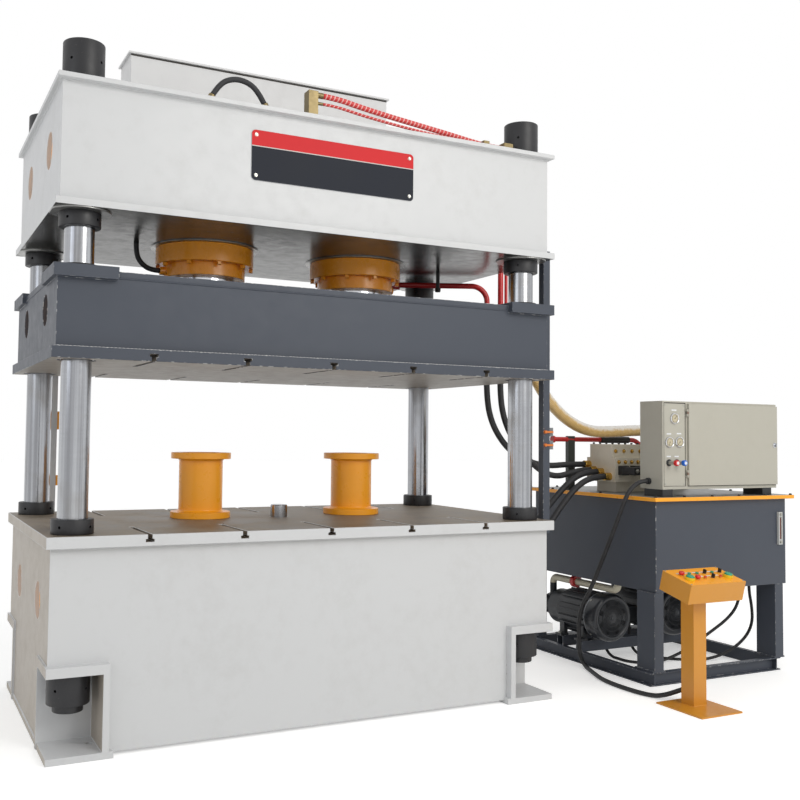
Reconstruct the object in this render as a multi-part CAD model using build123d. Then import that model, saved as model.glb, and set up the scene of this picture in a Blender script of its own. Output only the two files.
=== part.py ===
from build123d import *
import math
import os

# A four-column hydraulic press with its power unit and its operator's pedestal.
# Millimetres. The origin is on the floor at the middle of the four anchor holes of the bed.
# X runs along the front from left to right, Y from the front to the back, Z up.

os.makedirs("parts", exist_ok=True)

# Clearances between pieces
RUNNING = 0.05
SEATED = 0.1
APART = 0.3

# The three steel weldments share one plan
PLATE_LENGTH = 3600
PLATE_DEPTH = 1880
BODY_INSET_END = 30
BODY_INSET_FRONT = 50
WALL = 40
RIB = 40
BED_HEIGHT = 1290
DAYLIGHT = 1036
SLIDE_HEIGHT = 534
SLIDE_TO_CROWN = 365
CROWN_HEIGHT = 785

# Plates that close the weldments above and below
BED_PLATE = 70
BED_FLOOR_GAP = 20
BED_BOTTOM_PLATE = 40
SLIDE_PLATE = 70
SLIDE_COVER = 40
CROWN_BOTTOM_PLATE = 45
CROWN_TOP_PLATE = 30

# Columns and what holds them
COLUMN_DIAMETER = 180
COLUMN_SPACING_X = 3252
COLUMN_SPACING_Y = 1508
COLUMN_STUB = 45
NUT_DIAMETER = 252
NUT_CHAMFER = 5
LOCK_NUT_HEIGHT = 90
BOTTOM_NUT_HEIGHT = 189
TOP_NUT_HEIGHT = 245
SPANNER_HOLE = 18
SPANNER_HOLE_DEPTH = 22
SPANNER_HOLES = 4
COLUMN_TUBE_WALL = 60

# T-slots in the two working faces
T_SLOTS = 5
T_SLOT_PITCH = 600
T_SLOT_LENGTH = 500
T_SLOT_MOUTH = 28
T_SLOT_MOUTH_DEPTH = 28
T_SLOT_HEAD = 52
T_SLOT_HEAD_DEPTH = 18

# Round openings in the ends of the weldments
END_HOLE_SPREAD = 870
END_HOLE_DEPTH = 28
BED_HOLE_DIAMETER = 230
BED_HOLE_HEIGHT = 857
SLIDE_HOLE_DIAMETER = 200
SLIDE_HOLE_HEIGHT = 329
CROWN_HOLE_DIAMETER = 235
CROWN_HOLE_HEIGHT = 442

# Hoses and cables, and the ports that take them
CABLE_DIAMETER = 25
CONDUIT_DIAMETER = 34
RETURN_HOSE_DIAMETER = 100
CROWN_HOSE_DIAMETER = 36
PILOT_HOSE_DIAMETER = 38
THIN_HOSE_DIAMETER = 20
CROWN_LINES_Y = -820
CROWN_STUB = 63
PILOT_BLOCK = 70
PILOT_BLOCK_RIGHT = -105
HOSE_DIAMETER = 50
HOSE_PORT = 66
HOSE_PORT_LENGTH = 60
BED_PORT_LENGTH = 80
EJECTOR_PORTS = ((-105, 1045), (-205, 925))

# Corner recesses of the bed
RECESS_WIDTH = 312
RECESS_DEPTH = 280
RECESS_TOP = 487
SHELF_THICKNESS = 60
SHELF_LENGTH = 385
SHELF_OVERHANG_END = 15
SHELF_OVERHANG_FRONT = 55
FOOT_WIDTH = 380
FOOT_THICKNESS = 40
ANCHOR_HOLE = 42
ANCHOR_SPACING_X = 2984
ANCHOR_SPACING_Y = 1470

# Main cylinders
CYLINDER_SPACING = 1212
CYLINDER_DIAMETER = 580
CYLINDER_BORE = 450
CYLINDER_NOSE = 225
CYLINDER_GLAND = 90
CYLINDER_HEAD_DIAMETER = 700
CYLINDER_HEAD_THICKNESS = 45
PREFILL_VALVE_SIZE = 300
PREFILL_VALVE_HEIGHT = 210
RING_NUT_DIAMETER = 700
RING_NUT_HEIGHT = 127
RING_NUT_LUGS = 10
RING_NUT_LUG_WIDTH = 27
RING_NUT_LUG_HEIGHT = 24
RING_NUT_LUG_INSET = 4
RING_PAD_DIAMETER = 770
NUT_PAD_DIAMETER = 370
PAD_THICKNESS = 8
RAM_DIAMETER = 430
RAM_FOOT_DIAMETER = 540
RAM_FOOT_THICKNESS = 40
RAM_LENGTH = 940
PISTON_THICKNESS = 145

# Slide
SLIDE_PAD_LENGTH = 380
SLIDE_PAD_DEPTH = 480
SLIDE_PAD_THICKNESS = 74
SLIDE_PAD_RISE = 20
BUSH_WALL = 25
WIPER_DIAMETER = 240
WIPER_HEIGHT = 20
RAM_SEAT_DIAMETER = 600

# Ejector
EJECTOR_DIAMETER = 125
EJECTOR_PROUD = 90
EJECTOR_CYLINDER_DIAMETER = 300
EJECTOR_FLANGE_DIAMETER = 400
EJECTOR_FLANGE_THICKNESS = 40
EJECTOR_BORE = 150
EJECTOR_CYLINDER_LENGTH = 400
EJECTOR_GLAND = 60
EJECTOR_PISTON = 80
EJECTOR_DOWN = 90

# Stop blocks that stand on the bed
STOP_LEFT_X = -567
STOP_RIGHT_X = 653
STOP_Y = 120
STOP_HEIGHT = 470
STOP_FLANGE_DIAMETER = 432
STOP_FLANGE_THICKNESS = 45
STOP_TUBE_DIAMETER = 316
STOP_TUBE_WALL = 14
STOP_WELD = 12

# Prefill tank on the crown
PREFILL_TANK_LENGTH = 2166
PREFILL_TANK_DEPTH = 332
PREFILL_TANK_FRONT = 400
PREFILL_TANK_HEIGHT = 720
PREFILL_TANK_SHEET = 6
PREFILL_COVER_OVERHANG = 18
PREFILL_COVER_THICKNESS = 14
PREFILL_PIPE_DIAMETER = 168

# Name plate on the crown
SIGN_LENGTH = 1196
SIGN_HEIGHT = 330
SIGN_LEFT = -585
SIGN_RISE = 302
SIGN_THICKNESS = 5
SIGN_CORNER = 28

# Upright rails beside and behind the columns
RAIL_SIZE = 60
RAIL_WALL = 5
RAIL_FRONT = -770
RAIL_GAP = 30
RAIL_BOTTOM = 1180
RAIL_TOP = 3320
RAIL_BRACKET = 40
SWITCH_HEIGHTS = (1842, 1941)
SWITCH_SIZE = 40
SWITCH_LENGTH = 66
SWITCH_ARM = 8
SWITCH_ROLLER = 24
REAR_RAIL_SIZE = 45
REAR_RAIL_X = -1500
REAR_RAIL_GAP = 50
REAR_BOX_LENGTH = 240
REAR_BOX_DEPTH = 45
REAR_BOX_HEIGHTS = ((1485, 78), (1916, 139))


def block(x0, x1, y0, y1, z0, z1):
    """A rectangular block between two opposite corners."""
    middle = Pos((x0 + x1) / 2, (y0 + y1) / 2, (z0 + z1) / 2)
    return middle * Box(abs(x1 - x0), abs(y1 - y0), abs(z1 - z0))


def upright(x, y, z0, z1, diameter):
    """A round bar along Z."""
    return Pos(x, y, (z0 + z1) / 2) * Cylinder(diameter / 2, z1 - z0)


def along_x(x0, x1, y, z, diameter):
    """A round bar along X."""
    return Pos((x0 + x1) / 2, y, z) * Rot(0, 90, 0) * Cylinder(diameter / 2, abs(x1 - x0))


def along_y(x, y0, y1, z, diameter):
    """A round bar along Y."""
    return Pos(x, (y0 + y1) / 2, z) * Rot(90, 0, 0) * Cylinder(diameter / 2, abs(y1 - y0))


def between(start, end, diameter):
    """A round bar from one point to another."""
    axis = Vector(*end) - Vector(*start)
    middle = (Vector(*end) + Vector(*start)) / 2
    return Plane(middle, z_dir=axis) * Cylinder(diameter / 2, axis.length)


def beyond(inner, end, length, diameter):
    """A round bar that carries a route on past its end."""
    run = Vector(*end) - Vector(*inner)
    return between(end, tuple(Vector(*end) + run.normalized() * length), diameter)


def pipe(points, diameter, bend):
    """A bent steel pipe through the given points."""
    path = FilletPolyline(*points, radius=bend)
    profile = Plane(path @ 0, z_dir=path % 0) * Circle(diameter / 2)
    return sweep(profile, path=path)


def save(name, shape):
    """Write one node."""
    export_step(shape, f"parts/{name}.step")


def save_group(name, pieces):
    """Write one node that holds several separate solids."""
    export_step(Compound(children=[piece.solid() for piece in pieces]), f"parts/{name}.step")


# Heights and faces that the pieces share
PLATE_X = PLATE_LENGTH / 2
PLATE_Y = PLATE_DEPTH / 2
BODY_X = PLATE_X - BODY_INSET_END
BODY_Y = PLATE_Y - BODY_INSET_FRONT
COLUMN_X = COLUMN_SPACING_X / 2
COLUMN_Y = COLUMN_SPACING_Y / 2
COLUMNS = [(sx * COLUMN_X, sy * COLUMN_Y) for sx in (-1, 1) for sy in (-1, 1)]
BED_TOP = BED_HEIGHT
SLIDE_BOTTOM = BED_TOP + DAYLIGHT
SLIDE_TOP = SLIDE_BOTTOM + SLIDE_HEIGHT
SLIDE_PAD_TOP = SLIDE_TOP + SLIDE_PAD_RISE
CROWN_BOTTOM = SLIDE_TOP + SLIDE_TO_CROWN
CROWN_TOP = CROWN_BOTTOM + CROWN_HEIGHT
CYLINDER_X = CYLINDER_SPACING / 2
COLUMN_BORE = COLUMN_DIAMETER + 2 * APART
END_HOLE_Y = END_HOLE_SPREAD / 2
RECESS_INNER_X = BODY_X - RECESS_WIDTH
RECESS_WALL_X = RECESS_INNER_X - WALL
RECESS_INNER_Y = BODY_Y - RECESS_DEPTH
RECESS_WALL_Y = RECESS_INNER_Y - WALL


def chambers(x_lines, y_lines, z0, z1):
    """The closed spaces between a grid of ribs, given each space's limits."""
    spaces = [block(*x, *y, z0, z1) for x in x_lines for y in y_lines]
    return Part() + spaces


def mirrored(limits):
    """The same spaces on both sides of the middle."""
    return [(-b, -a) for a, b in reversed(limits)] + list(limits)


def t_slots(face_z, into):
    """The T-slots of a working face, from the front and from the back edge."""
    cuts = []
    for i in range(T_SLOTS):
        x = (i - (T_SLOTS - 1) / 2) * T_SLOT_PITCH
        mouth_end = face_z + into * T_SLOT_MOUTH_DEPTH
        head_end = mouth_end + into * T_SLOT_HEAD_DEPTH
        for edge in (-1, 1):
            near = edge * PLATE_Y
            far = edge * (PLATE_Y - T_SLOT_LENGTH)
            cuts.append(block(x - T_SLOT_MOUTH / 2, x + T_SLOT_MOUTH / 2, near, far, face_z, mouth_end))
            cuts.append(block(x - T_SLOT_HEAD / 2, x + T_SLOT_HEAD / 2, near, far, mouth_end, head_end))
    return cuts


def end_holes(z, diameter):
    """The round openings in both end walls, each with a thin cover welded in at its back."""
    return [
        along_x(side * (BODY_X - END_HOLE_DEPTH), side * (BODY_X + 1), y, z, diameter)
        for side in (-1, 1)
        for y in (-END_HOLE_Y, END_HOLE_Y)
    ]


# Chambers of the bed between its ribs
BED_RIBS_X = (300, 860)
LONG_RIB_Y = 290
Y_CHAMBERS = [
    (-BODY_Y + WALL, -LONG_RIB_Y - RIB / 2),
    (-LONG_RIB_Y + RIB / 2, LONG_RIB_Y - RIB / 2),
    (LONG_RIB_Y + RIB / 2, BODY_Y - WALL),
]


def bed():
    """The bed: a ribbed box with a thick slotted table, four corner recesses and two long foot plates."""
    table_bottom = BED_TOP - BED_PLATE
    floor = BED_FLOOR_GAP + BED_BOTTOM_PLATE
    body = block(-BODY_X, BODY_X, -BODY_Y, BODY_Y, BED_FLOOR_GAP, table_bottom)
    body -= chambers(
        [(-BED_RIBS_X[0] + RIB / 2, BED_RIBS_X[0] - RIB / 2)]
        + mirrored([(BED_RIBS_X[0] + RIB / 2, BED_RIBS_X[1] - RIB / 2), (BED_RIBS_X[1] + RIB / 2, RECESS_WALL_X)]),
        Y_CHAMBERS,
        floor,
        table_bottom,
    )
    end_bays = mirrored([(RECESS_INNER_X, BODY_X - WALL)])
    shelf_top = RECESS_TOP + SHELF_THICKNESS
    upper = chambers(end_bays, Y_CHAMBERS, shelf_top + RIB, table_bottom)
    tube_diameter = COLUMN_DIAMETER + 2 * COLUMN_TUBE_WALL
    for x, y in COLUMNS:
        upper -= upright(x, y, shelf_top, table_bottom, tube_diameter)
    body -= upper
    body -= chambers(end_bays, [(-RECESS_WALL_Y, RECESS_WALL_Y)], floor, RECESS_TOP)
    shape = body + block(-PLATE_X, PLATE_X, -PLATE_Y, PLATE_Y, table_bottom, BED_TOP)
    reach_x = BODY_X + SHELF_OVERHANG_END
    reach_y = BODY_Y + SHELF_OVERHANG_FRONT
    for sx in (-1, 1):
        for sy in (-1, 1):
            recess_x = (sx * RECESS_INNER_X, sx * (reach_x + 1))
            recess_y = (sy * RECESS_INNER_Y, sy * (reach_y + 1))
            shape -= block(*recess_x, *recess_y, 0, RECESS_TOP)
            shape += block(
                sx * RECESS_WALL_X,
                sx * reach_x,
                sy * (reach_y - SHELF_LENGTH),
                sy * reach_y,
                RECESS_TOP,
                RECESS_TOP + SHELF_THICKNESS,
            )
            shape += block(sx * RECESS_WALL_X, sx * RECESS_INNER_X, sy * RECESS_WALL_Y, sy * reach_y, 0, RECESS_TOP)
            shape += block(sx * RECESS_INNER_X, sx * reach_x, sy * RECESS_WALL_Y, sy * RECESS_INNER_Y, 0, RECESS_TOP)
        shape += block(
            sx * (BODY_X - FOOT_WIDTH), sx * (BODY_X + SHELF_OVERHANG_END / 2), -reach_y, reach_y, 0, FOOT_THICKNESS
        )
    for x, y in COLUMNS:
        shape -= upright(x, y, RECESS_TOP - 1, BED_TOP + 1, COLUMN_BORE)
    for sx in (-1, 1):
        for sy in (-1, 1):
            shape -= upright(
                sx * ANCHOR_SPACING_X / 2, sy * ANCHOR_SPACING_Y / 2, -1, FOOT_THICKNESS + 1, ANCHOR_HOLE
            )
    shape -= upright(0, 0, table_bottom - 1, BED_TOP + 1, EJECTOR_DIAMETER + 6)
    shape -= t_slots(BED_TOP, -1)
    shape -= end_holes(BED_HOLE_HEIGHT, BED_HOLE_DIAMETER)
    for y, z in EJECTOR_PORTS:
        shape += along_x(BODY_X, BODY_X + BED_PORT_LENGTH, y, z, HOSE_PORT)
    return shape


CROWN_RIBS_X = (256, 956, 1400)


def weldment_chambers(z0, z1, barrel_diameter, tube_diameter):
    """The hollow of the crown or of the slide: spaces between ribs, less the barrels and column tubes."""
    first, second, third = CROWN_RIBS_X
    half = RIB / 2
    lines = mirrored([(first + half, second - half), (second + half, third - half), (third + half, BODY_X - WALL)])
    lines.append((-first + half, first - half))
    hollow = chambers(lines, Y_CHAMBERS, z0, z1)
    for side in (-1, 1):
        hollow -= upright(side * CYLINDER_X, 0, z0, z1, barrel_diameter)
    for x, y in COLUMNS:
        hollow -= upright(x, y, z0, z1, tube_diameter)
    return hollow


BARREL_WALL = 46


def crown():
    """The crown: a ribbed box with proud top and bottom plates, bored for the cylinders and the columns."""
    low = CROWN_BOTTOM + CROWN_BOTTOM_PLATE
    high = CROWN_TOP - CROWN_TOP_PLATE
    shape = block(-BODY_X, BODY_X, -BODY_Y, BODY_Y, low, high)
    shape += block(-PLATE_X, PLATE_X, -PLATE_Y, PLATE_Y, CROWN_BOTTOM, low)
    shape += block(-PLATE_X, PLATE_X, -PLATE_Y, PLATE_Y, high, CROWN_TOP)
    shape -= weldment_chambers(
        low, high, CYLINDER_DIAMETER + 2 * BARREL_WALL, COLUMN_DIAMETER + 2 * COLUMN_TUBE_WALL
    )
    pad_bottom = CROWN_BOTTOM - PAD_THICKNESS
    for side in (-1, 1):
        shape += upright(side * CYLINDER_X, 0, pad_bottom, CROWN_BOTTOM, RING_PAD_DIAMETER)
    for x, y in COLUMNS:
        pad = upright(x, y, pad_bottom, CROWN_BOTTOM, NUT_PAD_DIAMETER)
        shape += pad & block(-PLATE_X, PLATE_X, -PLATE_Y, PLATE_Y, pad_bottom, CROWN_BOTTOM)
    for side in (-1, 1):
        shape -= upright(side * CYLINDER_X, 0, pad_bottom - 1, CROWN_TOP + 1, CYLINDER_DIAMETER + 2 * APART)
    for x, y in COLUMNS:
        shape -= upright(x, y, pad_bottom - 1, CROWN_TOP + 1, COLUMN_BORE)
    shape -= end_holes(CROWN_BOTTOM + CROWN_HOLE_HEIGHT, CROWN_HOLE_DIAMETER)
    return shape + crown_fittings()


def crown_fittings():
    """The stubs and blocks on the crown that the small hoses screw into."""
    y = CROWN_LINES_Y
    stub = 1.3 * CROWN_HOSE_DIAMETER
    pieces = [
        beyond(CROWN_HOSES[0][1], CROWN_HOSES[0][0], CROWN_STUB, stub),
        beyond(CROWN_HOSES[0][-2], CROWN_HOSES[0][-1], CROWN_STUB, stub),
        block(PILOT_BLOCK_RIGHT - PILOT_BLOCK, PILOT_BLOCK_RIGHT, y - 40, y + 40, CROWN_TOP, 4198),
        block(1400, 1480, y - 40, y + 80, CROWN_TOP, CROWN_TOP + 60),
        block(1200, 1250, y - 70, y - 24, CROWN_TOP, CROWN_TOP + 40),
    ]
    for z in (4128, 4183):
        pieces.append(along_x(PILOT_BLOCK_RIGHT - 5, PILOT_BLOCK_RIGHT + 50, y, z, 1.1 * THIN_HOSE_DIAMETER + (z - 4128) / 3))
    return pieces


def slide():
    """The slide: a ribbed box with a slotted bottom plate and four bush pads on its corners."""
    low = SLIDE_BOTTOM + SLIDE_PLATE
    shape = block(-BODY_X, BODY_X, -BODY_Y, BODY_Y, low, SLIDE_TOP)
    shape += block(-PLATE_X, PLATE_X, -PLATE_Y, PLATE_Y, SLIDE_BOTTOM, low)
    tube_diameter = COLUMN_DIAMETER + 2 * (BUSH_WALL + WALL)
    shape -= weldment_chambers(low, SLIDE_TOP - SLIDE_COVER, RAM_SEAT_DIAMETER, tube_diameter)
    for x, y in COLUMNS:
        sx = math.copysign(1, x)
        sy = math.copysign(1, y)
        shape += block(
            sx * (PLATE_X - SLIDE_PAD_LENGTH),
            sx * PLATE_X,
            sy * (PLATE_Y - SLIDE_PAD_DEPTH),
            sy * PLATE_Y,
            SLIDE_PAD_TOP - SLIDE_PAD_THICKNESS,
            SLIDE_PAD_TOP,
        )
    for x, y in COLUMNS:
        shape -= upright(x, y, SLIDE_BOTTOM - 1, SLIDE_PAD_TOP + 1, COLUMN_DIAMETER + 2 * BUSH_WALL)
    return shape - t_slots(SLIDE_BOTTOM, 1) - end_holes(SLIDE_BOTTOM + SLIDE_HOLE_HEIGHT, SLIDE_HOLE_DIAMETER)


def columns():
    """Four ground columns, from the stub below the bottom nut to the stub above the top nut."""
    z0 = RECESS_TOP - BOTTOM_NUT_HEIGHT - COLUMN_STUB
    z1 = CROWN_TOP + TOP_NUT_HEIGHT + COLUMN_STUB / 4
    bars = []
    for x, y in COLUMNS:
        bar = upright(x, y, z0, z1, COLUMN_DIAMETER)
        bars.append(chamfer(bar.edges().filter_by(GeomType.CIRCLE), NUT_CHAMFER))
    return bars


def column_nut(x, y, z, height):
    """A round nut with chamfered rims and radial spanner holes."""
    body = upright(x, y, z, z + height, NUT_DIAMETER)
    body = chamfer(body.edges().filter_by(GeomType.CIRCLE), NUT_CHAMFER)
    body -= upright(x, y, z - 1, z + height + 1, COLUMN_DIAMETER + 2 * SEATED)
    for i in range(SPANNER_HOLES):
        angle = 360 / SPANNER_HOLES * (i + 0.5)
        hole = Pos(x, y, z + height / 2) * Rot(0, 0, angle) * Pos(NUT_DIAMETER / 2, 0, 0) * Rot(0, 90, 0)
        body -= hole * Cylinder(SPANNER_HOLE / 2, 2 * SPANNER_HOLE_DEPTH)
    return body


def ring_nut(x):
    """The round nut that holds a main cylinder up against the crown, with square lugs under its rim."""
    top = CROWN_BOTTOM - PAD_THICKNESS
    bottom = top - RING_NUT_HEIGHT
    body = upright(x, 0, bottom, top, RING_NUT_DIAMETER)
    body = chamfer(body.edges().filter_by(GeomType.CIRCLE), NUT_CHAMFER / 2)
    outer = RING_NUT_DIAMETER / 2 - RING_NUT_LUG_INSET
    inner = outer - RING_NUT_LUG_WIDTH
    low = bottom - RING_NUT_LUG_HEIGHT
    half = RING_NUT_LUG_WIDTH / 2
    for i in range(RING_NUT_LUGS):
        turn = Pos(x, 0, 0) * Rot(0, 0, 360 / RING_NUT_LUGS * i - 90)
        body += turn * block(inner, outer, -half, half, low, bottom + NUT_CHAMFER)
    return body - upright(x, 0, bottom - 1, top + 1, CYLINDER_DIAMETER + 2 * SEATED)


NOSE_BOTTOM = CROWN_BOTTOM - CYLINDER_NOSE
CYLINDER_CROWN_SIDE = CROWN_TOP + CYLINDER_HEAD_THICKNESS
PORT_DIAMETER = 60
PORT_LENGTH = 40
PORT_HEIGHT = NOSE_BOTTOM + 45


def main_cylinder(side):
    """A cylinder that hangs in the crown by its head, bored for the piston, with its prefill valve on top."""
    x = side * CYLINDER_X
    shape = upright(x, 0, NOSE_BOTTOM, CROWN_TOP, CYLINDER_DIAMETER)
    shape += upright(x, 0, CROWN_TOP, CYLINDER_CROWN_SIDE, CYLINDER_HEAD_DIAMETER)
    half = PREFILL_VALVE_SIZE / 2
    shape += block(x - half, x + half, -half, half, CYLINDER_CROWN_SIDE, CYLINDER_CROWN_SIDE + PREFILL_VALVE_HEIGHT)
    outer = x + side * CYLINDER_DIAMETER / 2
    shape += along_x(outer - side * PORT_LENGTH, outer + side * PORT_LENGTH, 0, PORT_HEIGHT, PORT_DIAMETER)
    shape -= upright(x, 0, NOSE_BOTTOM - 1, NOSE_BOTTOM + CYLINDER_GLAND + 1, RAM_DIAMETER + 2 * RUNNING)
    shape -= upright(x, 0, NOSE_BOTTOM + CYLINDER_GLAND, CROWN_TOP - WALL, CYLINDER_BORE)
    return shape


def ram(side):
    """A plated ram: a foot on the slide, the rod, and a piston that runs in the bore."""
    x = side * CYLINDER_X
    top = SLIDE_TOP + RAM_LENGTH
    foot = upright(x, 0, SLIDE_TOP, SLIDE_TOP + RAM_FOOT_THICKNESS, RAM_FOOT_DIAMETER)
    foot = chamfer(foot.edges().filter_by(GeomType.CIRCLE).sort_by(Axis.Z)[-1], NUT_CHAMFER)
    rod = upright(x, 0, SLIDE_TOP, top, RAM_DIAMETER)
    piston = upright(x, 0, top - PISTON_THICKNESS, top, CYLINDER_BORE - 2 * RUNNING)
    return foot + rod + piston


def guide_bush(x, y):
    """A bush that guides the slide on its column."""
    outer = COLUMN_DIAMETER + 2 * BUSH_WALL - 2 * RUNNING
    shape = upright(x, y, SLIDE_BOTTOM + NUT_CHAMFER, SLIDE_PAD_TOP, outer)
    return shape - upright(x, y, SLIDE_BOTTOM, SLIDE_PAD_TOP + 1, COLUMN_DIAMETER + 2 * RUNNING)


def wiper_ring(x, y):
    """A black ring on the pad that wipes the column."""
    shape = upright(x, y, SLIDE_PAD_TOP, SLIDE_PAD_TOP + WIPER_HEIGHT, WIPER_DIAMETER)
    shape = chamfer(shape.edges().filter_by(GeomType.CIRCLE).sort_by(Axis.Z)[-1], NUT_CHAMFER)
    return shape - upright(x, y, SLIDE_PAD_TOP - 1, SLIDE_PAD_TOP + WIPER_HEIGHT + 1, COLUMN_DIAMETER + 2 * APART)


EJECTOR_TOP = BED_TOP - BED_PLATE


def ejector_cylinder():
    """The ejector's cylinder, flanged to the underside of the table."""
    bottom = EJECTOR_TOP - EJECTOR_CYLINDER_LENGTH
    shape = upright(0, 0, bottom, EJECTOR_TOP, EJECTOR_CYLINDER_DIAMETER)
    shape += upright(0, 0, EJECTOR_TOP - EJECTOR_FLANGE_THICKNESS, EJECTOR_TOP, EJECTOR_FLANGE_DIAMETER)
    shape -= upright(0, 0, bottom + WALL, EJECTOR_TOP - EJECTOR_GLAND, EJECTOR_BORE)
    return shape - upright(0, 0, EJECTOR_TOP - EJECTOR_GLAND - 1, EJECTOR_TOP + 1, EJECTOR_DIAMETER + 2 * RUNNING)


def ejector_rod():
    """The bright ejector pin that stands out of the table, with its piston below."""
    low = EJECTOR_TOP - EJECTOR_CYLINDER_LENGTH + WALL + EJECTOR_DOWN + 10
    shape = upright(0, 0, low, BED_TOP + EJECTOR_PROUD, EJECTOR_DIAMETER)
    shape = chamfer(shape.edges().filter_by(GeomType.CIRCLE).sort_by(Axis.Z)[-1], NUT_CHAMFER)
    return shape + upright(0, 0, low, low + EJECTOR_PISTON, EJECTOR_BORE - 2 * RUNNING)


def stop_block(x):
    """A stop: a tube between two flanges, with a weld all round at each flange."""
    inner = STOP_TUBE_DIAMETER / 2 - STOP_TUBE_WALL
    tube = STOP_TUBE_DIAMETER / 2
    flange = STOP_FLANGE_DIAMETER / 2
    t = STOP_FLANGE_THICKNESS
    outline = Polyline(
        (inner, 0),
        (flange, 0),
        (flange, t),
        (tube + STOP_WELD, t),
        (tube, t + STOP_WELD),
        (tube, STOP_HEIGHT - t - STOP_WELD),
        (tube + STOP_WELD, STOP_HEIGHT - t),
        (flange, STOP_HEIGHT - t),
        (flange, STOP_HEIGHT),
        (inner, STOP_HEIGHT),
        close=True,
    )
    profile = Plane.XZ * make_face(outline)
    return Pos(x, STOP_Y, BED_TOP) * revolve(profile, Axis.Z)


def prefill_tank():
    """The sheet-steel tank on the crown, with a suction pipe to each cylinder's prefill valve."""
    x = PREFILL_TANK_LENGTH / 2
    y0 = PREFILL_TANK_FRONT
    y1 = y0 + PREFILL_TANK_DEPTH
    top = CROWN_TOP + PREFILL_TANK_HEIGHT
    t = PREFILL_TANK_SHEET
    shape = block(-x, x, y0, y1, CROWN_TOP, top) - block(-x + t, x - t, y0 + t, y1 - t, CROWN_TOP + t, top + 1)
    z = CYLINDER_CROWN_SIDE + PREFILL_VALVE_HEIGHT / 2
    for side in (-1, 1):
        shape += along_y(side * CYLINDER_X, PREFILL_VALVE_SIZE / 2, y0 + t / 2, z, PREFILL_PIPE_DIAMETER)
    return shape


def prefill_tank_cover():
    """The folded lid of the prefill tank."""
    x = PREFILL_TANK_LENGTH / 2 + PREFILL_COVER_OVERHANG
    y0 = PREFILL_TANK_FRONT - PREFILL_COVER_OVERHANG
    y1 = PREFILL_TANK_FRONT + PREFILL_TANK_DEPTH + PREFILL_COVER_OVERHANG
    z = CROWN_TOP + PREFILL_TANK_HEIGHT
    return block(-x, x, y0, y1, z, z + PREFILL_COVER_THICKNESS)


def sign_plate():
    """The name plate on the crown's front, left without a name."""
    z0 = CROWN_BOTTOM + SIGN_RISE
    x1 = SIGN_LEFT + SIGN_LENGTH
    plate = block(SIGN_LEFT, x1, -BODY_Y - SIGN_THICKNESS, -BODY_Y, z0, z0 + SIGN_HEIGHT)
    return fillet(plate.edges().filter_by(Axis.Y), SIGN_CORNER)


RAIL_X = PLATE_X + RAIL_GAP


def limit_switch_rail():
    """A square tube beside the right-hand columns, on brackets from the bed and from the crown."""
    y1 = RAIL_FRONT + RAIL_SIZE
    tube = block(RAIL_X, RAIL_X + RAIL_SIZE, RAIL_FRONT, y1, RAIL_BOTTOM, RAIL_TOP)
    tube -= block(
        RAIL_X + RAIL_WALL,
        RAIL_X + RAIL_SIZE - RAIL_WALL,
        RAIL_FRONT + RAIL_WALL,
        y1 - RAIL_WALL,
        RAIL_BOTTOM - 1,
        RAIL_TOP + 1,
    )
    for z in (BED_TOP - BED_PLATE / 2, CROWN_BOTTOM + CROWN_BOTTOM_PLATE / 2):
        tube += block(PLATE_X, RAIL_X + RAIL_WALL, RAIL_FRONT, y1, z - RAIL_BRACKET / 2, z + RAIL_BRACKET / 2)
    return tube


def limit_switch(z):
    """A limit switch on the rail, with a roller arm that reaches across its front."""
    x = RAIL_X + RAIL_SIZE
    y = RAIL_FRONT + RAIL_SIZE / 2
    body = block(x, x + SWITCH_SIZE, y - SWITCH_SIZE / 2, y + SWITCH_SIZE / 2, z - SWITCH_LENGTH / 2, z + SWITCH_LENGTH / 2)
    arm_y = RAIL_FRONT - SWITCH_ARM - 1
    body += block(x + SWITCH_SIZE / 2 - 8, x + SWITCH_SIZE / 2 + 8, arm_y, y, z - 8, z + 8)
    body += block(RAIL_X, x + SWITCH_SIZE / 2 + 8, arm_y, arm_y + SWITCH_ARM, z - 8, z + 8)
    return body + along_y(RAIL_X + SWITCH_ROLLER / 2, arm_y - 10, arm_y + SWITCH_ARM, z, SWITCH_ROLLER)


REAR_RAIL_Y = PLATE_Y + REAR_RAIL_GAP


def rear_rail():
    """A bar behind the left-hand columns, on brackets from the bed and from the crown."""
    x0 = REAR_RAIL_X
    x1 = x0 + REAR_RAIL_SIZE
    y1 = REAR_RAIL_Y + REAR_RAIL_SIZE
    shape = block(x0, x1, REAR_RAIL_Y, y1, RAIL_BOTTOM, RAIL_TOP)
    for z in (BED_TOP - BED_PLATE / 2, CROWN_BOTTOM + CROWN_BOTTOM_PLATE / 2):
        shape += block(x0, x1, PLATE_Y, REAR_RAIL_Y, z - RAIL_BRACKET / 2, z + RAIL_BRACKET / 2)
    return shape


def rear_rail_box(z, height):
    """A yellow box on the rear rail."""
    x0 = REAR_RAIL_X + REAR_RAIL_SIZE
    return block(x0, x0 + REAR_BOX_LENGTH, REAR_RAIL_Y, REAR_RAIL_Y + REAR_BOX_DEPTH, z, z + height)


RECESS_NUT_Z = RECESS_TOP - BOTTOM_NUT_HEIGHT
LOCK_NUT_Z = CROWN_BOTTOM - PAD_THICKNESS - LOCK_NUT_HEIGHT

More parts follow.
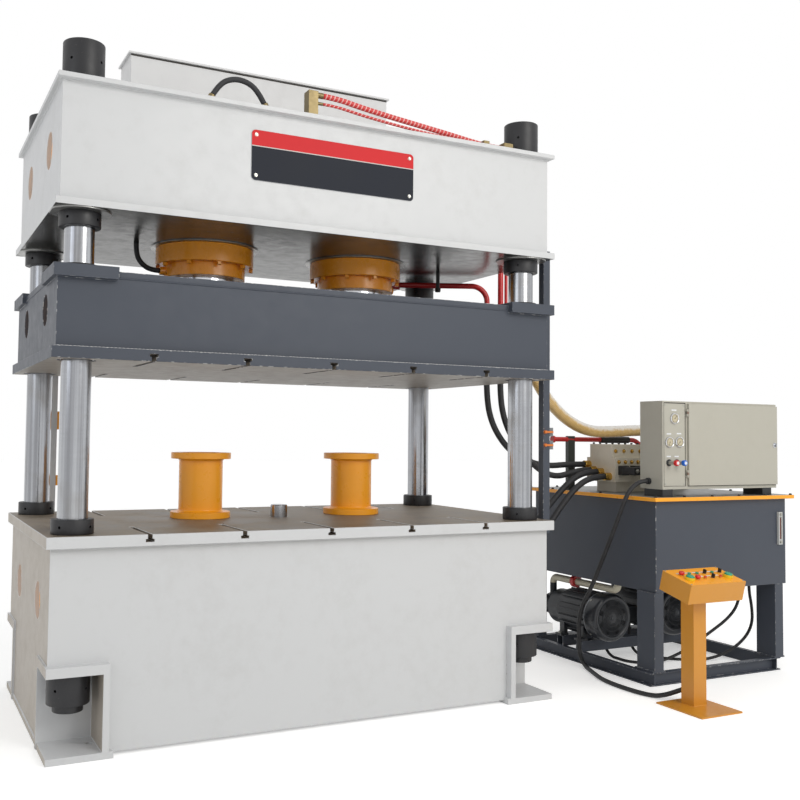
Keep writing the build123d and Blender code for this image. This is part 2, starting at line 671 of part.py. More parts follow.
save("bed", bed())
save("slide", slide())
save_group("columns", columns())
save_group(
    "column_end_nuts",
    [column_nut(x, y, CROWN_TOP, TOP_NUT_HEIGHT) for x, y in COLUMNS]
    + [column_nut(x, y, RECESS_NUT_Z, BOTTOM_NUT_HEIGHT) for x, y in COLUMNS],
)
save_group(
    "column_lock_nuts",
    [column_nut(x, y, BED_TOP, LOCK_NUT_HEIGHT) for x, y in COLUMNS]
    + [column_nut(x, y, LOCK_NUT_Z, LOCK_NUT_HEIGHT) for x, y in COLUMNS],
)
save_group("cylinder_ring_nuts", [ring_nut(side * CYLINDER_X) for side in (-1, 1)])
save_group("main_cylinders", [main_cylinder(side) for side in (-1, 1)])
save_group("rams", [ram(side) for side in (-1, 1)])
save_group("guide_bushes", [guide_bush(x, y) for x, y in COLUMNS])
save_group("wiper_rings", [wiper_ring(x, y) for x, y in COLUMNS])
save("ejector_cylinder", ejector_cylinder())
save("ejector_rod", ejector_rod())
save_group("stop_blocks", [stop_block(x) for x in (STOP_LEFT_X, STOP_RIGHT_X)])
save("prefill_tank", prefill_tank())
save("prefill_tank_cover", prefill_tank_cover())
save("sign_plate", sign_plate())
save("limit_switch_rail", limit_switch_rail())
save_group("limit_switches", [limit_switch(z) for z in SWITCH_HEIGHTS])
save("rear_rail", rear_rail())
save_group("rear_rail_boxes", [rear_rail_box(z, height) for z, height in REAR_BOX_HEIGHTS])


# The power unit stands to the right of the press
UNIT_LEFT = 2690
UNIT_FRONT = -975
UNIT_LENGTH = 1420
UNIT_DEPTH = 1535
FRAME_HEIGHT = 100
CHANNEL_FLANGE = 50
CHANNEL_WEB = 8
LEG_WIDTH = 92
LEG_DEPTH = 190
REAR_LEG_DEPTH = 92
LEG_INSET = 43
LEG_FOOT = 12
LEG_FOOT_REACH = 14
MOTOR_BEAM_HEIGHT = 90
MOTOR_BEAM_WIDTH = 80
MOTOR_BEAM_OFFSETS = (80, 330)

# Oil tank
TANK_BOTTOM = 707
TANK_TOP = 1415
TANK_LEFT = 2750
TANK_LENGTH = 1433
TANK_FRONT = -974
TANK_DEPTH = 1510
TANK_SHEET = 6
LID_OVERHANG = 50
LID_THICKNESS = 30
GAUGE_LENGTH = 270
GAUGE_WIDTH = 44
GAUGE_DEPTH = 20
GAUGE_INSET = 78
GAUGE_TOP_DROP = 112

# Motors and pumps, along Y under the tank
MOTOR_X = (2870, 3580)
MOTOR_AXIS_Z = 400
MOTOR_FRONT = -350
MOTOR_DIAMETER = 350
COWL_DIAMETER = 392
COWL_LENGTH = 130
COWL_SHEET = 4
COWL_MOUTH = 150
MOTOR_LENGTH = 520
CABLE_ENTRY_Y = 0
MOTOR_FINS = 20
FIN_HEIGHT = 18
FIN_WIDTH = 9
MOTOR_FOOT_WIDTH = 80
MOTOR_FOOT_SPREAD = 318
TERMINAL_BOX_LENGTH = 140
TERMINAL_BOX_BOTTOM = 290
TERMINAL_BOX_HEIGHT = 130
TERMINAL_BOX_REACH = 270
CABLE_ENTRY = 210
SHAFT_DIAMETER = 55
FAN_DIAMETER = 300
FAN_HUB = 90
FAN_BLADES = 7
FAN_DEPTH = 60
FAN_SETBACK = 30
BELL_LENGTH = 150
BELL_DIAMETER = 300
PUMP_LENGTH = 140
PUMP_DIAMETER = 190
SUCTION_DIAMETER = 60
SUCTION_OFFSET = 30
SUCTION_HEIGHT = 647
SUCTION_FRONT = -450
SUCTION_BEND = 50
SUCTION_VALVE_Y = 60
SUCTION_VALVE_DIAMETER = 104

# Cabinet on the tank lid
CABINET_LEFT = 2845
CABINET_LENGTH = 1265
CABINET_FRONT = -950
CABINET_DEPTH = 245
CABINET_FEET = 58
CABINET_BOTTOM = TANK_TOP + LID_THICKNESS + CABINET_FEET
CABINET_HEIGHT = 697
CABINET_SHEET = 4
CABINET_BLOCK = 105
CABINET_BLOCK_DEPTH = 200
PANEL_LENGTH = 261
DOOR_LEFT = CABINET_LEFT + PANEL_LENGTH
DOOR_LENGTH = CABINET_LENGTH - PANEL_LENGTH - 8
DOOR_BOTTOM = CABINET_BOTTOM + 29
DOOR_HEIGHT = CABINET_HEIGHT - 47
DOOR_THICKNESS = 20
DOOR_SHEET = 3
DOOR_OPENING_MARGIN = 15
HINGE_DIAMETER = 14
HINGE_LENGTH = 60
HINGE_INSET = 93
HINGE_HEIGHTS = (DOOR_BOTTOM + HINGE_INSET, DOOR_BOTTOM + DOOR_HEIGHT - HINGE_INSET + 21)
LOCK_X = DOOR_LEFT + DOOR_LENGTH - 33
LOCK_Z = DOOR_BOTTOM + DOOR_HEIGHT / 2 + 2
LOCK_DIAMETER = 28
LOCK_PROUD = 12
DIAL_DIAMETER = 68
DIAL_PROUD = 18
DIAL_OFFSETS = ((120, 559), (66, 371), (172, 374))
DIALS = [(CABINET_LEFT + x, CABINET_BOTTOM + z) for x, z in DIAL_OFFSETS]
VALVE_X = (CABINET_LEFT + 63, CABINET_LEFT + 145)
VALVE_Z = CABINET_BOTTOM + 210
VALVE_COLLAR = 38
VALVE_STEM = 20
VALVE_REACH = 85
KNOB_DIAMETER = 34
KNOB_LENGTH = 30
GLAND_Y = CABINET_FRONT + 144
GLAND_Z = CABINET_BOTTOM + 61
GLAND_LENGTH = 25


def channel(x0, x1, y0, y1, z0, z1, open_side):
    """A rolled channel lying along its longer side, with its web away from the open side."""
    web = block(x0, x1, y0, y1, z0, z1)
    t = CHANNEL_WEB
    if open_side == "+x":
        return web - block(x0 + t, x1 + 1, y0 - 1, y1 + 1, z0 + t, z1 - t)
    if open_side == "-x":
        return web - block(x0 - 1, x1 - t, y0 - 1, y1 + 1, z0 + t, z1 - t)
    if open_side == "+y":
        return web - block(x0 - 1, x1 + 1, y0 + t, y1 + 1, z0 + t, z1 - t)
    return web - block(x0 - 1, x1 + 1, y0 - 1, y1 - t, z0 + t, z1 - t)


UNIT_RIGHT = UNIT_LEFT + UNIT_LENGTH
UNIT_BACK = UNIT_FRONT + UNIT_DEPTH
TANK_RIGHT = TANK_LEFT + TANK_LENGTH
TANK_BACK = TANK_FRONT + TANK_DEPTH
LID_TOP = TANK_TOP + LID_THICKNESS
COWL_BACK = MOTOR_FRONT + COWL_LENGTH
MOTOR_BACK = MOTOR_FRONT + MOTOR_LENGTH
BELL_BACK = MOTOR_BACK + BELL_LENGTH
FOOT_PLANE = FRAME_HEIGHT + MOTOR_BEAM_HEIGHT


def power_unit_frame():
    """The base frame: four channels, two motor beams and four legs that carry the tank."""
    f = CHANNEL_FLANGE
    pieces = [
        channel(UNIT_LEFT, UNIT_LEFT + f, UNIT_FRONT, UNIT_BACK, 0, FRAME_HEIGHT, "-x"),
        channel(UNIT_RIGHT - f, UNIT_RIGHT, UNIT_FRONT, UNIT_BACK, 0, FRAME_HEIGHT, "+x"),
        channel(UNIT_LEFT + f, UNIT_RIGHT - f, UNIT_FRONT, UNIT_FRONT + f, 0, FRAME_HEIGHT, "-y"),
        channel(UNIT_LEFT + f, UNIT_RIGHT - f, UNIT_BACK - f, UNIT_BACK, 0, FRAME_HEIGHT, "+y"),
    ]
    for offset in MOTOR_BEAM_OFFSETS:
        y = COWL_BACK + offset - MOTOR_BEAM_WIDTH / 2
        beam = block(UNIT_LEFT, UNIT_RIGHT, y, y + MOTOR_BEAM_WIDTH, FRAME_HEIGHT, FOOT_PLANE)
        hollow = block(
            UNIT_LEFT - 1,
            UNIT_RIGHT + 1,
            y + CHANNEL_WEB,
            y + MOTOR_BEAM_WIDTH - CHANNEL_WEB,
            FRAME_HEIGHT + CHANNEL_WEB,
            FOOT_PLANE - CHANNEL_WEB,
        )
        pieces.append(beam - hollow)
    for x in (UNIT_LEFT + LEG_INSET, UNIT_RIGHT - LEG_WIDTH + LEG_INSET - 8):
        pieces.append(tank_leg(x, UNIT_FRONT, LEG_DEPTH, LEG_FOOT_REACH))
        pieces.append(tank_leg(x, UNIT_BACK - REAR_LEG_DEPTH, REAR_LEG_DEPTH, 0))
    return pieces


def tank_leg(x, y, depth, reach):
    """A leg folded from plate, on a foot plate that is fixed to the frame."""
    t = CHANNEL_WEB
    leg = block(x, x + LEG_WIDTH, y, y + depth, FRAME_HEIGHT, TANK_BOTTOM)
    leg -= block(x + t, x + LEG_WIDTH - t, y + t, y + depth - t, FRAME_HEIGHT + LEG_FOOT, TANK_BOTTOM - t)
    x0 = x - LEG_FOOT_REACH
    x1 = x + LEG_WIDTH + LEG_FOOT_REACH
    return leg + block(x0, x1, y, y + depth + reach, FRAME_HEIGHT, FRAME_HEIGHT + LEG_FOOT)


def oil_tank():
    """The welded oil tank, open below its lid."""
    t = TANK_SHEET
    shape = block(TANK_LEFT, TANK_RIGHT, TANK_FRONT, TANK_BACK, TANK_BOTTOM, TANK_TOP)
    return shape - block(TANK_LEFT + t, TANK_RIGHT - t, TANK_FRONT + t, TANK_BACK - t, TANK_BOTTOM + t, TANK_TOP + 1)


def oil_tank_lid():
    """The lid plate, proud of the tank all round."""
    o = LID_OVERHANG
    return block(TANK_LEFT - o, TANK_RIGHT + o, TANK_FRONT - o, TANK_BACK + o, TANK_TOP, LID_TOP)


def sight_glass():
    """The level gauge on the tank's front, with a bolt block at each end and a glass between."""
    x1 = TANK_RIGHT - GAUGE_INSET + GAUGE_WIDTH / 2
    x0 = x1 - GAUGE_WIDTH
    y0 = TANK_FRONT - GAUGE_DEPTH
    z1 = TANK_TOP - GAUGE_TOP_DROP
    z0 = z1 - GAUGE_LENGTH
    body = block(x0, x1, y0, TANK_FRONT, z0, z1)
    inset = GAUGE_WIDTH / 4
    return body - block(x0 + inset, x1 - inset, y0 - 1, y0 + GAUGE_DEPTH / 3, z0 + GAUGE_WIDTH, z1 - GAUGE_WIDTH)


def motor(x, box_side):
    """A foot-mounted motor: finned frame, feet, a terminal box at one side and a fan cowl with a grille."""
    z = MOTOR_AXIS_Z
    frame = along_y(x, COWL_BACK, MOTOR_BACK, z, MOTOR_DIAMETER)
    fin_y = (COWL_BACK + MOTOR_BACK) / 2
    fin_length = MOTOR_BACK - COWL_BACK - 60
    fin_reach = MOTOR_DIAMETER / 2 + FIN_HEIGHT
    for i in range(MOTOR_FINS):
        angle = 360 / MOTOR_FINS * (i + 0.5)
        turn = Pos(x, fin_y, z) * Rot(0, angle, 0) * Pos(fin_reach / 2 + 20, 0, 0)
        frame += turn * Box(fin_reach - 40, fin_length, FIN_WIDTH)
    foot_x = MOTOR_FOOT_SPREAD / 2
    for side in (-1, 1):
        near = x + side * (foot_x - MOTOR_FOOT_WIDTH / 2)
        far = x + side * (foot_x + MOTOR_FOOT_WIDTH / 2)
        for offset in MOTOR_BEAM_OFFSETS:
            y = COWL_BACK + offset
            frame += block(near, far, y - 40, y + 40, FOOT_PLANE, FOOT_PLANE + 20)
            frame += block(near, x + side * foot_x, y - 30, y + 30, FOOT_PLANE, z)
    half = TERMINAL_BOX_LENGTH / 2
    box_top = TERMINAL_BOX_BOTTOM + TERMINAL_BOX_HEIGHT
    near = x + box_side * (TERMINAL_BOX_REACH - TERMINAL_BOX_HEIGHT)
    far = x + box_side * TERMINAL_BOX_REACH
    frame += block(near, far, CABLE_ENTRY_Y - half, CABLE_ENTRY_Y + half, TERMINAL_BOX_BOTTOM, box_top)
    cowl = along_y(x, MOTOR_FRONT, COWL_BACK, z, COWL_DIAMETER)
    cowl = fillet(cowl.edges().filter_by(GeomType.CIRCLE).sort_by(Axis.Y)[0], 25)
    cowl -= along_y(x, MOTOR_FRONT + COWL_SHEET, COWL_BACK - 10, z, COWL_DIAMETER - 2 * COWL_SHEET - 20)
    cowl -= along_y(x, MOTOR_FRONT - 1, MOTOR_FRONT + COWL_SHEET + 1, z, 2 * COWL_MOUTH)
    grille = along_y(x, MOTOR_FRONT, MOTOR_FRONT + COWL_SHEET, z, 2 * COWL_MOUTH + 2)
    slots = []
    for i in range(8):
        for inner, outer in ((34, 84), (96, 142)):
            turn = Pos(x, MOTOR_FRONT + COWL_SHEET / 2, z) * Rot(0, 45 * i + 22.5, 0) * Pos((inner + outer) / 2, 0, 0)
            slots.append(turn * Box(outer - inner, 2 * COWL_SHEET + 10, 20 if outer < 90 else 40))
    cowl += grille - slots
    shape = frame + cowl
    return shape - along_y(x, COWL_BACK - 20, MOTOR_BACK + 1, z, SHAFT_DIAMETER + 2 * RUNNING)


def motor_rotor(x):
    """What turns in a motor: the shaft with its fan at the front and the coupling half at the back."""
    z = MOTOR_AXIS_Z
    y0 = MOTOR_FRONT + FAN_SETBACK
    shape = along_y(x, y0, MOTOR_BACK + BELL_LENGTH / 2, z, SHAFT_DIAMETER)
    shape += along_y(x, y0, y0 + FAN_DEPTH, z, FAN_HUB)
    for i in range(FAN_BLADES):
        turn = Pos(x, y0 + FAN_DEPTH / 2, z) * Rot(0, 360 / FAN_BLADES * i, 0) * Pos(FAN_DIAMETER / 4, 0, 0)
        shape += turn * Rot(28, 0, 0) * Box(FAN_DIAMETER / 2, FAN_DEPTH - 14, 5)
    return shape + along_y(x, MOTOR_BACK + 20, MOTOR_BACK + BELL_LENGTH / 2, z, 2 * SHAFT_DIAMETER)


def pump(x):
    """A pump with its bell housing, which is bolted to the motor's flange."""
    z = MOTOR_AXIS_Z
    gap = MOTOR_BACK + SEATED
    shape = along_y(x, gap, BELL_BACK, z, BELL_DIAMETER)
    shape -= along_y(x, gap - 1, BELL_BACK - 20, z, BELL_DIAMETER - 40)
    shape += along_y(x, BELL_BACK, BELL_BACK + PUMP_LENGTH, z, PUMP_DIAMETER)
    shape += along_y(x, BELL_BACK, BELL_BACK + 30, z, PUMP_DIAMETER + 60)
    line_x = x - SUCTION_OFFSET
    line_y = BELL_BACK + PUMP_LENGTH / 2
    shape += pipe(
        [
            (line_x, line_y, z),
            (line_x, line_y, SUCTION_HEIGHT),
            (line_x, SUCTION_FRONT, SUCTION_HEIGHT),
            (line_x, SUCTION_FRONT, TANK_BOTTOM),
        ],
        SUCTION_DIAMETER,
        SUCTION_BEND,
    )
    return shape + along_y(line_x, SUCTION_VALVE_Y, SUCTION_VALVE_Y + 45, SUCTION_HEIGHT, SUCTION_VALVE_DIAMETER)

save_group("power_unit_frame", power_unit_frame())
save("oil_tank", oil_tank())
save("oil_tank_lid", oil_tank_lid())
save("sight_glass", sight_glass())
for label, motor_x, box_side in zip(("left", "right"), MOTOR_X, (1, -1)):
    save(f"motor_{label}", motor(motor_x, box_side))
    save(f"motor_rotor_{label}", motor_rotor(motor_x))
save_group("pumps", [pump(x) for x in MOTOR_X])


CABINET_RIGHT = CABINET_LEFT + CABINET_LENGTH
CABINET_BACK = CABINET_FRONT + CABINET_DEPTH
CABINET_TOP = CABINET_BOTTOM + CABINET_HEIGHT
DOOR_RIGHT = DOOR_LEFT + DOOR_LENGTH
DOOR_TOP = DOOR_BOTTOM + DOOR_HEIGHT
DOOR_BACK = CABINET_FRONT - APART
DOOR_FRONT = DOOR_BACK - DOOR_THICKNESS
HINGE_X = DOOR_LEFT - HINGE_DIAMETER / 2 - 1
HINGE_Y = DOOR_FRONT + HINGE_DIAMETER / 2


def cabinet():
    """The sheet-steel cabinet with its door opening, its gauge panel, its hinge pins and its cable gland."""
    t = CABINET_SHEET
    shape = block(CABINET_LEFT, CABINET_RIGHT, CABINET_FRONT, CABINET_BACK, CABINET_BOTTOM, CABINET_TOP)
    shape -= block(
        CABINET_LEFT + t, CABINET_RIGHT - t, CABINET_FRONT + t, CABINET_BACK - t, CABINET_BOTTOM + t, CABINET_TOP - t
    )
    margin = DOOR_OPENING_MARGIN
    shape -= block(
        DOOR_LEFT + margin,
        DOOR_RIGHT - margin,
        CABINET_FRONT - 1,
        CABINET_FRONT + t + 1,
        DOOR_BOTTOM + margin,
        DOOR_TOP - margin,
    )
    for x, z in DIALS:
        shape -= along_y(x, CABINET_FRONT - 1, CABINET_FRONT + t + 1, z, DIAL_DIAMETER - 8)
    for x in VALVE_X:
        shape += along_y(x, CABINET_FRONT - 8, CABINET_FRONT + t, VALVE_Z, VALVE_COLLAR)
        shape += along_y(x, CABINET_FRONT - VALVE_REACH, CABINET_FRONT, VALVE_Z, VALVE_STEM)
    for z in HINGE_HEIGHTS:
        for end in (-1, 1):
            knuckle_z = z + end * HINGE_LENGTH / 3
            knuckle = upright(
                HINGE_X, HINGE_Y, knuckle_z - HINGE_LENGTH / 6, knuckle_z + HINGE_LENGTH / 6, HINGE_DIAMETER
            )
            leaf = block(
                HINGE_X - HINGE_DIAMETER / 2,
                HINGE_X,
                HINGE_Y,
                CABINET_FRONT,
                knuckle_z - HINGE_LENGTH / 6,
                knuckle_z + HINGE_LENGTH / 6,
            )
            shape += knuckle + leaf
        shape += upright(HINGE_X, HINGE_Y, z - HINGE_LENGTH / 2, z + HINGE_LENGTH / 2, HINGE_DIAMETER / 2)
    shape += along_x(CABINET_LEFT - GLAND_LENGTH, CABINET_LEFT, GLAND_Y, GLAND_Z, 1.5 * CONDUIT_DIAMETER)
    for x in (CABINET_LEFT, CABINET_RIGHT - CABINET_BLOCK - 60):
        shape += block(x, x + CABINET_BLOCK, CABINET_FRONT, CABINET_FRONT + CABINET_BLOCK_DEPTH, LID_TOP, CABINET_BOTTOM)
    return shape


def cabinet_door():
    """The door: a folded sheet tray with a knuckle on each hinge pin and a hole for its lock."""
    t = DOOR_SHEET
    shape = block(DOOR_LEFT, DOOR_RIGHT, DOOR_FRONT, DOOR_BACK, DOOR_BOTTOM, DOOR_TOP)
    shape -= block(DOOR_LEFT + t, DOOR_RIGHT - t, DOOR_FRONT + t, DOOR_BACK + 1, DOOR_BOTTOM + t, DOOR_TOP - t)
    sixth = HINGE_LENGTH / 6 - APART
    for z in HINGE_HEIGHTS:
        knuckle = upright(HINGE_X, HINGE_Y, z - sixth, z + sixth, HINGE_DIAMETER)
        knuckle += block(HINGE_X, DOOR_LEFT + t, DOOR_FRONT, HINGE_Y, z - sixth, z + sixth)
        shape += knuckle - upright(HINGE_X, HINGE_Y, z - HINGE_LENGTH, z + HINGE_LENGTH, HINGE_DIAMETER / 2 + 2 * RUNNING)
    shape += along_y(LOCK_X, DOOR_FRONT, DOOR_BACK, LOCK_Z, LOCK_DIAMETER + 12)
    return shape - along_y(LOCK_X, DOOR_FRONT - 1, DOOR_BACK + 1, LOCK_Z, LOCK_DIAMETER / 2 + 2 * RUNNING)


def door_lock():
    """The quarter-turn lock, drawn open: a head with a finger bar, a spindle and an upright tongue."""
    y0 = DOOR_FRONT - APART
    head = along_y(LOCK_X, y0 - LOCK_PROUD, y0, LOCK_Z, LOCK_DIAMETER)
    grip = LOCK_DIAMETER / 2
    bar = block(LOCK_X - 4, LOCK_X + 4, y0 - 2 * LOCK_PROUD, y0, LOCK_Z - grip, LOCK_Z + grip)
    behind = CABINET_FRONT + CABINET_SHEET + APART
    spindle = along_y(LOCK_X, y0, behind + 5, LOCK_Z, LOCK_DIAMETER / 2)
    tongue = block(LOCK_X - 9, LOCK_X + 9, behind, behind + 5, LOCK_Z - 10, LOCK_Z + LOCK_DIAMETER)
    return head + bar + spindle + tongue


def pressure_gauge(x, z):
    """A round pressure gauge in the panel."""
    face = along_y(x, CABINET_FRONT - DIAL_PROUD, CABINET_FRONT, z, DIAL_DIAMETER)
    face -= along_y(x, CABINET_FRONT - DIAL_PROUD - 1, CABINET_FRONT - DIAL_PROUD + 3, z, DIAL_DIAMETER - 8)
    return face + along_y(x, CABINET_FRONT, CABINET_FRONT + 30, z, DIAL_DIAMETER - 12)


def valve_knob(x):
    """The hand knob of a needle valve, turning on the valve's stem."""
    y1 = CABINET_FRONT - VALVE_REACH + KNOB_LENGTH / 2
    knob = along_y(x, y1 - KNOB_LENGTH, y1, VALVE_Z, KNOB_DIAMETER)
    knob = chamfer(knob.edges().filter_by(GeomType.CIRCLE), 3)
    return knob - along_y(x, y1 - KNOB_LENGTH / 2, y1 + 1, VALVE_Z, VALVE_STEM + 2 * RUNNING)


def cabinet_gear():
    """What hangs in the cabinet: a mounting plate with two rows of breakers and contactors."""
    y1 = CABINET_BACK - CABINET_SHEET
    y0 = y1 - 20
    plate = block(DOOR_LEFT + 60, DOOR_RIGHT - 60, y0, y1, DOOR_BOTTOM + 50, DOOR_TOP - 50)
    for row, (height, depth, width, count) in enumerate(((90, 60, 45, 12), (110, 80, 70, 8))):
        z = DOOR_BOTTOM + 380 - row * 230
        plate += block(DOOR_LEFT + 90, DOOR_RIGHT - 90, y0 - 10, y0, z - 18, z + 18)
        for i in range(count):
            x = DOOR_LEFT + 110 + i * (DOOR_LENGTH - 220) / count
            plate += block(x, x + width, y0 - 10 - depth, y0 - 10, z - height / 2, z + height / 2)
    return plate


save("cabinet", cabinet())
save("cabinet_door", cabinet_door())
save("door_lock", door_lock())
save("cabinet_gear", cabinet_gear())
save_group("pressure_gauges", [pressure_gauge(x, z) for x, z in DIALS])
for colour, knob_x in zip(("red", "blue"), VALVE_X):
    save(f"{colour}_valve_knob", valve_knob(knob_x))


# Valve manifold on the lid
MANIFOLD_LEFT = 2921
MANIFOLD_FRONT = -330
MANIFOLD_LENGTH = 520
MANIFOLD_DEPTH = 360
MANIFOLD_BASE = 85
MANIFOLD_MIDDLE = 1735
MANIFOLD_TOP = 1850
MANIFOLD_TOP_LENGTH = 330
SOLENOID_DROP = 105
SOLENOID_SIZE = 62
SOLENOID_LENGTH = 190
SOLENOIDS = 4

HOSE_PORTS = ((0, 1672), (-75, 1625), (-165, 1612), (-260, 1575))
HOSE_PORT_X = MANIFOLD_LEFT - HOSE_PORT_LENGTH

# Return filter
FILTER_X = TANK_RIGHT - 283
FILTER_DIAMETER = 200
FILTER_HEIGHT = 610
FILTER_INLET_X = FILTER_X - 130
FILTER_INLET_Z = LID_TOP + 533

# Steel pipes
HEADER_Y = 100
HEADER_Z = 1888
HEADER_LEFT = 2610
HEADER_RIGHT = 3620
HEADER_DIAMETER = 42
HEADER_SLEEVE = 60
HEADER_SLEEVE_LEFT = 3127
HEADER_SLEEVE_LENGTH = 326
POST_X = 2757
POST_WIDTH = 72
RISER_DIAMETER = 46
RISER_BEND = 130
RISER_BOTTOM = 2440
CYLINDER_PIPE_X = 1880
CYLINDER_PIPE_Y = 60
CYLINDER_PIPE_Z = 3165
PORT_BLOCK = (1060, 1180, 310, 430)
CROWN_PIPE_X = 1975
CROWN_PIPE_Z = 3660
DRAIN_PIPE_X = 2030
DRAIN_PIPE_Z = 3560
DRAIN_PIPE_DIAMETER = 28
CLAMP_HEIGHTS = (2560, 3300)
CLAMP_THICKNESS = 40


def valve_manifold():
    """The valve block: a foot, a wide drilled block and a smaller one on top, with four hose ports at the left."""
    x0 = MANIFOLD_LEFT
    x1 = x0 + MANIFOLD_LENGTH
    y0 = MANIFOLD_FRONT
    y1 = y0 + MANIFOLD_DEPTH
    base_top = LID_TOP + MANIFOLD_BASE
    shape = block(x0 + 60, x1 - 60, y0 + 60, y1 - 60, LID_TOP, base_top)
    shape += block(x0, x1, y0, y1, base_top, MANIFOLD_MIDDLE)
    shape += block(x0, x0 + MANIFOLD_TOP_LENGTH, y0 + 40, y1 - 40, MANIFOLD_MIDDLE, MANIFOLD_TOP)
    for y, z in HOSE_PORTS:
        shape += along_x(x0 - HOSE_PORT_LENGTH, x0 + 1, y, z, HOSE_PORT)
    return shape


def solenoid_valves():
    """Spool valves with their coils, in a row on the front of the manifold."""
    valves = []
    y1 = MANIFOLD_FRONT
    for i in range(SOLENOIDS):
        x = MANIFOLD_LEFT + (i + 0.5) * MANIFOLD_LENGTH / SOLENOIDS
        z = MANIFOLD_MIDDLE - SOLENOID_DROP
        body = block(x - 35, x + 35, y1 - 60, y1, z - 40, z + 40)
        half = SOLENOID_SIZE / 2
        body += block(x - half, x + half, y1 - SOLENOID_LENGTH, y1 - 60, z - 30, z + 30)
        valves.append(body)
    for i in range(2):
        x = MANIFOLD_LEFT + MANIFOLD_TOP_LENGTH + 60 + i * 70
        valves.append(upright(x, MANIFOLD_FRONT + MANIFOLD_DEPTH / 2, MANIFOLD_MIDDLE, MANIFOLD_MIDDLE + 70, 54))
    return valves


def red_pipes():
    """The red steel pipes: a header on a post above the lid, and two lines beside the press."""
    header_points = [
        (HEADER_LEFT, HEADER_Y, HEADER_Z),
        (HEADER_RIGHT, HEADER_Y, HEADER_Z),
        (HEADER_RIGHT, HEADER_Y, LID_TOP),
    ]
    header = pipe(header_points, HEADER_DIAMETER, RISER_BEND)
    sleeve_right = HEADER_SLEEVE_LEFT + HEADER_SLEEVE_LENGTH
    header += along_x(HEADER_SLEEVE_LEFT, sleeve_right, HEADER_Y, HEADER_Z, HEADER_SLEEVE)
    header += along_x(HEADER_LEFT - 16, HEADER_LEFT + 4, HEADER_Y, HEADER_Z, HEADER_DIAMETER + 20)
    post_top = HEADER_Z + HEADER_DIAMETER / 2 + 8
    header += block(POST_X, POST_X + POST_WIDTH, HEADER_Y - 20, HEADER_Y + 20, LID_TOP, post_top)
    from_cylinder = pipe(
        [
            (PORT_BLOCK[1] - 4, (PORT_BLOCK[2] + PORT_BLOCK[3]) / 2, CYLINDER_PIPE_Z),
            (CYLINDER_PIPE_X, CYLINDER_PIPE_Y, CYLINDER_PIPE_Z),
            (CYLINDER_PIPE_X, CYLINDER_PIPE_Y, RISER_BOTTOM),
        ],
        RISER_DIAMETER,
        RISER_BEND,
    )
    from_cylinder += block(*PORT_BLOCK, CYLINDER_PIPE_Z - RISER_DIAMETER, CROWN_BOTTOM)
    from_crown = pipe(
        [(BODY_X, 0, CROWN_PIPE_Z), (CROWN_PIPE_X, 0, CROWN_PIPE_Z), (CROWN_PIPE_X, 0, RISER_BOTTOM)],
        RISER_DIAMETER,
        RISER_BEND,
    )
    from_crown += pipe(
        [(BODY_X, 0, DRAIN_PIPE_Z), (DRAIN_PIPE_X, 0, DRAIN_PIPE_Z), (DRAIN_PIPE_X, 0, CLAMP_HEIGHTS[0])],
        DRAIN_PIPE_DIAMETER,
        RISER_BEND,
    )
    for z in CLAMP_HEIGHTS:
        from_crown += block(CROWN_PIPE_X - 35, DRAIN_PIPE_X + 25, -32, 32, z, z + CLAMP_THICKNESS)
    return [header, from_cylinder, from_crown]


def return_filter():
    """The filter housing on the lid that takes the return hose at its side."""
    z1 = LID_TOP + FILTER_HEIGHT
    shape = upright(FILTER_X, 0, LID_TOP, z1, FILTER_DIAMETER)
    shape += upright(FILTER_X, 0, LID_TOP, LID_TOP + 20, FILTER_DIAMETER + 60)
    shape += upright(FILTER_X, 0, z1, z1 + 25, FILTER_DIAMETER + 30)
    return shape + along_x(FILTER_INLET_X, FILTER_X, 0, FILTER_INLET_Z, RETURN_HOSE_DIAMETER + 16)


save("return_filter", return_filter())
save("valve_manifold", valve_manifold())
save_group("solenoid_valves", solenoid_valves())
save_group("red_pipes", red_pipes())


# Pedestal and its sloping console
PEDESTAL_X = 2615
PEDESTAL_PLATE = (2400, 2784, -1760, -1334)
PEDESTAL_PLATE_THICKNESS = 12
POST_SIZE = 120
POST_FRONT = -1540
POST_WALL = 4
CONDUIT_GLAND = 45
CONSOLE_LENGTH = 520
CONSOLE_DEPTH = 280
CONSOLE_HEIGHT = 140
CONSOLE_TILT = 14
CONSOLE_FRONT_BOTTOM = (-1685, 762)
CONSOLE_SHEET = 3
BUTTON_PITCH = 73
BACK_ROW = 176
FRONT_ROW = 96
HOLE_DIAMETER = 22
STEM_DIAMETER = 21.9
STEM_LENGTH = 24
COLLAR_HEIGHT = 5
PUSH_TRAVEL = 5

CONSOLE_PLACE = (
    Pos(PEDESTAL_X - CONSOLE_LENGTH / 2, CONSOLE_FRONT_BOTTOM[0], CONSOLE_FRONT_BOTTOM[1]) * Rot(CONSOLE_TILT, 0, 0)
)


def on_console(column, row):
    """A place on the sloping face, with Z out of it. Columns run from 0 at the left to 5."""
    x = CONSOLE_LENGTH / 2 + (column - 2.5) * BUTTON_PITCH
    return CONSOLE_PLACE * Pos(x, row, CONSOLE_HEIGHT)


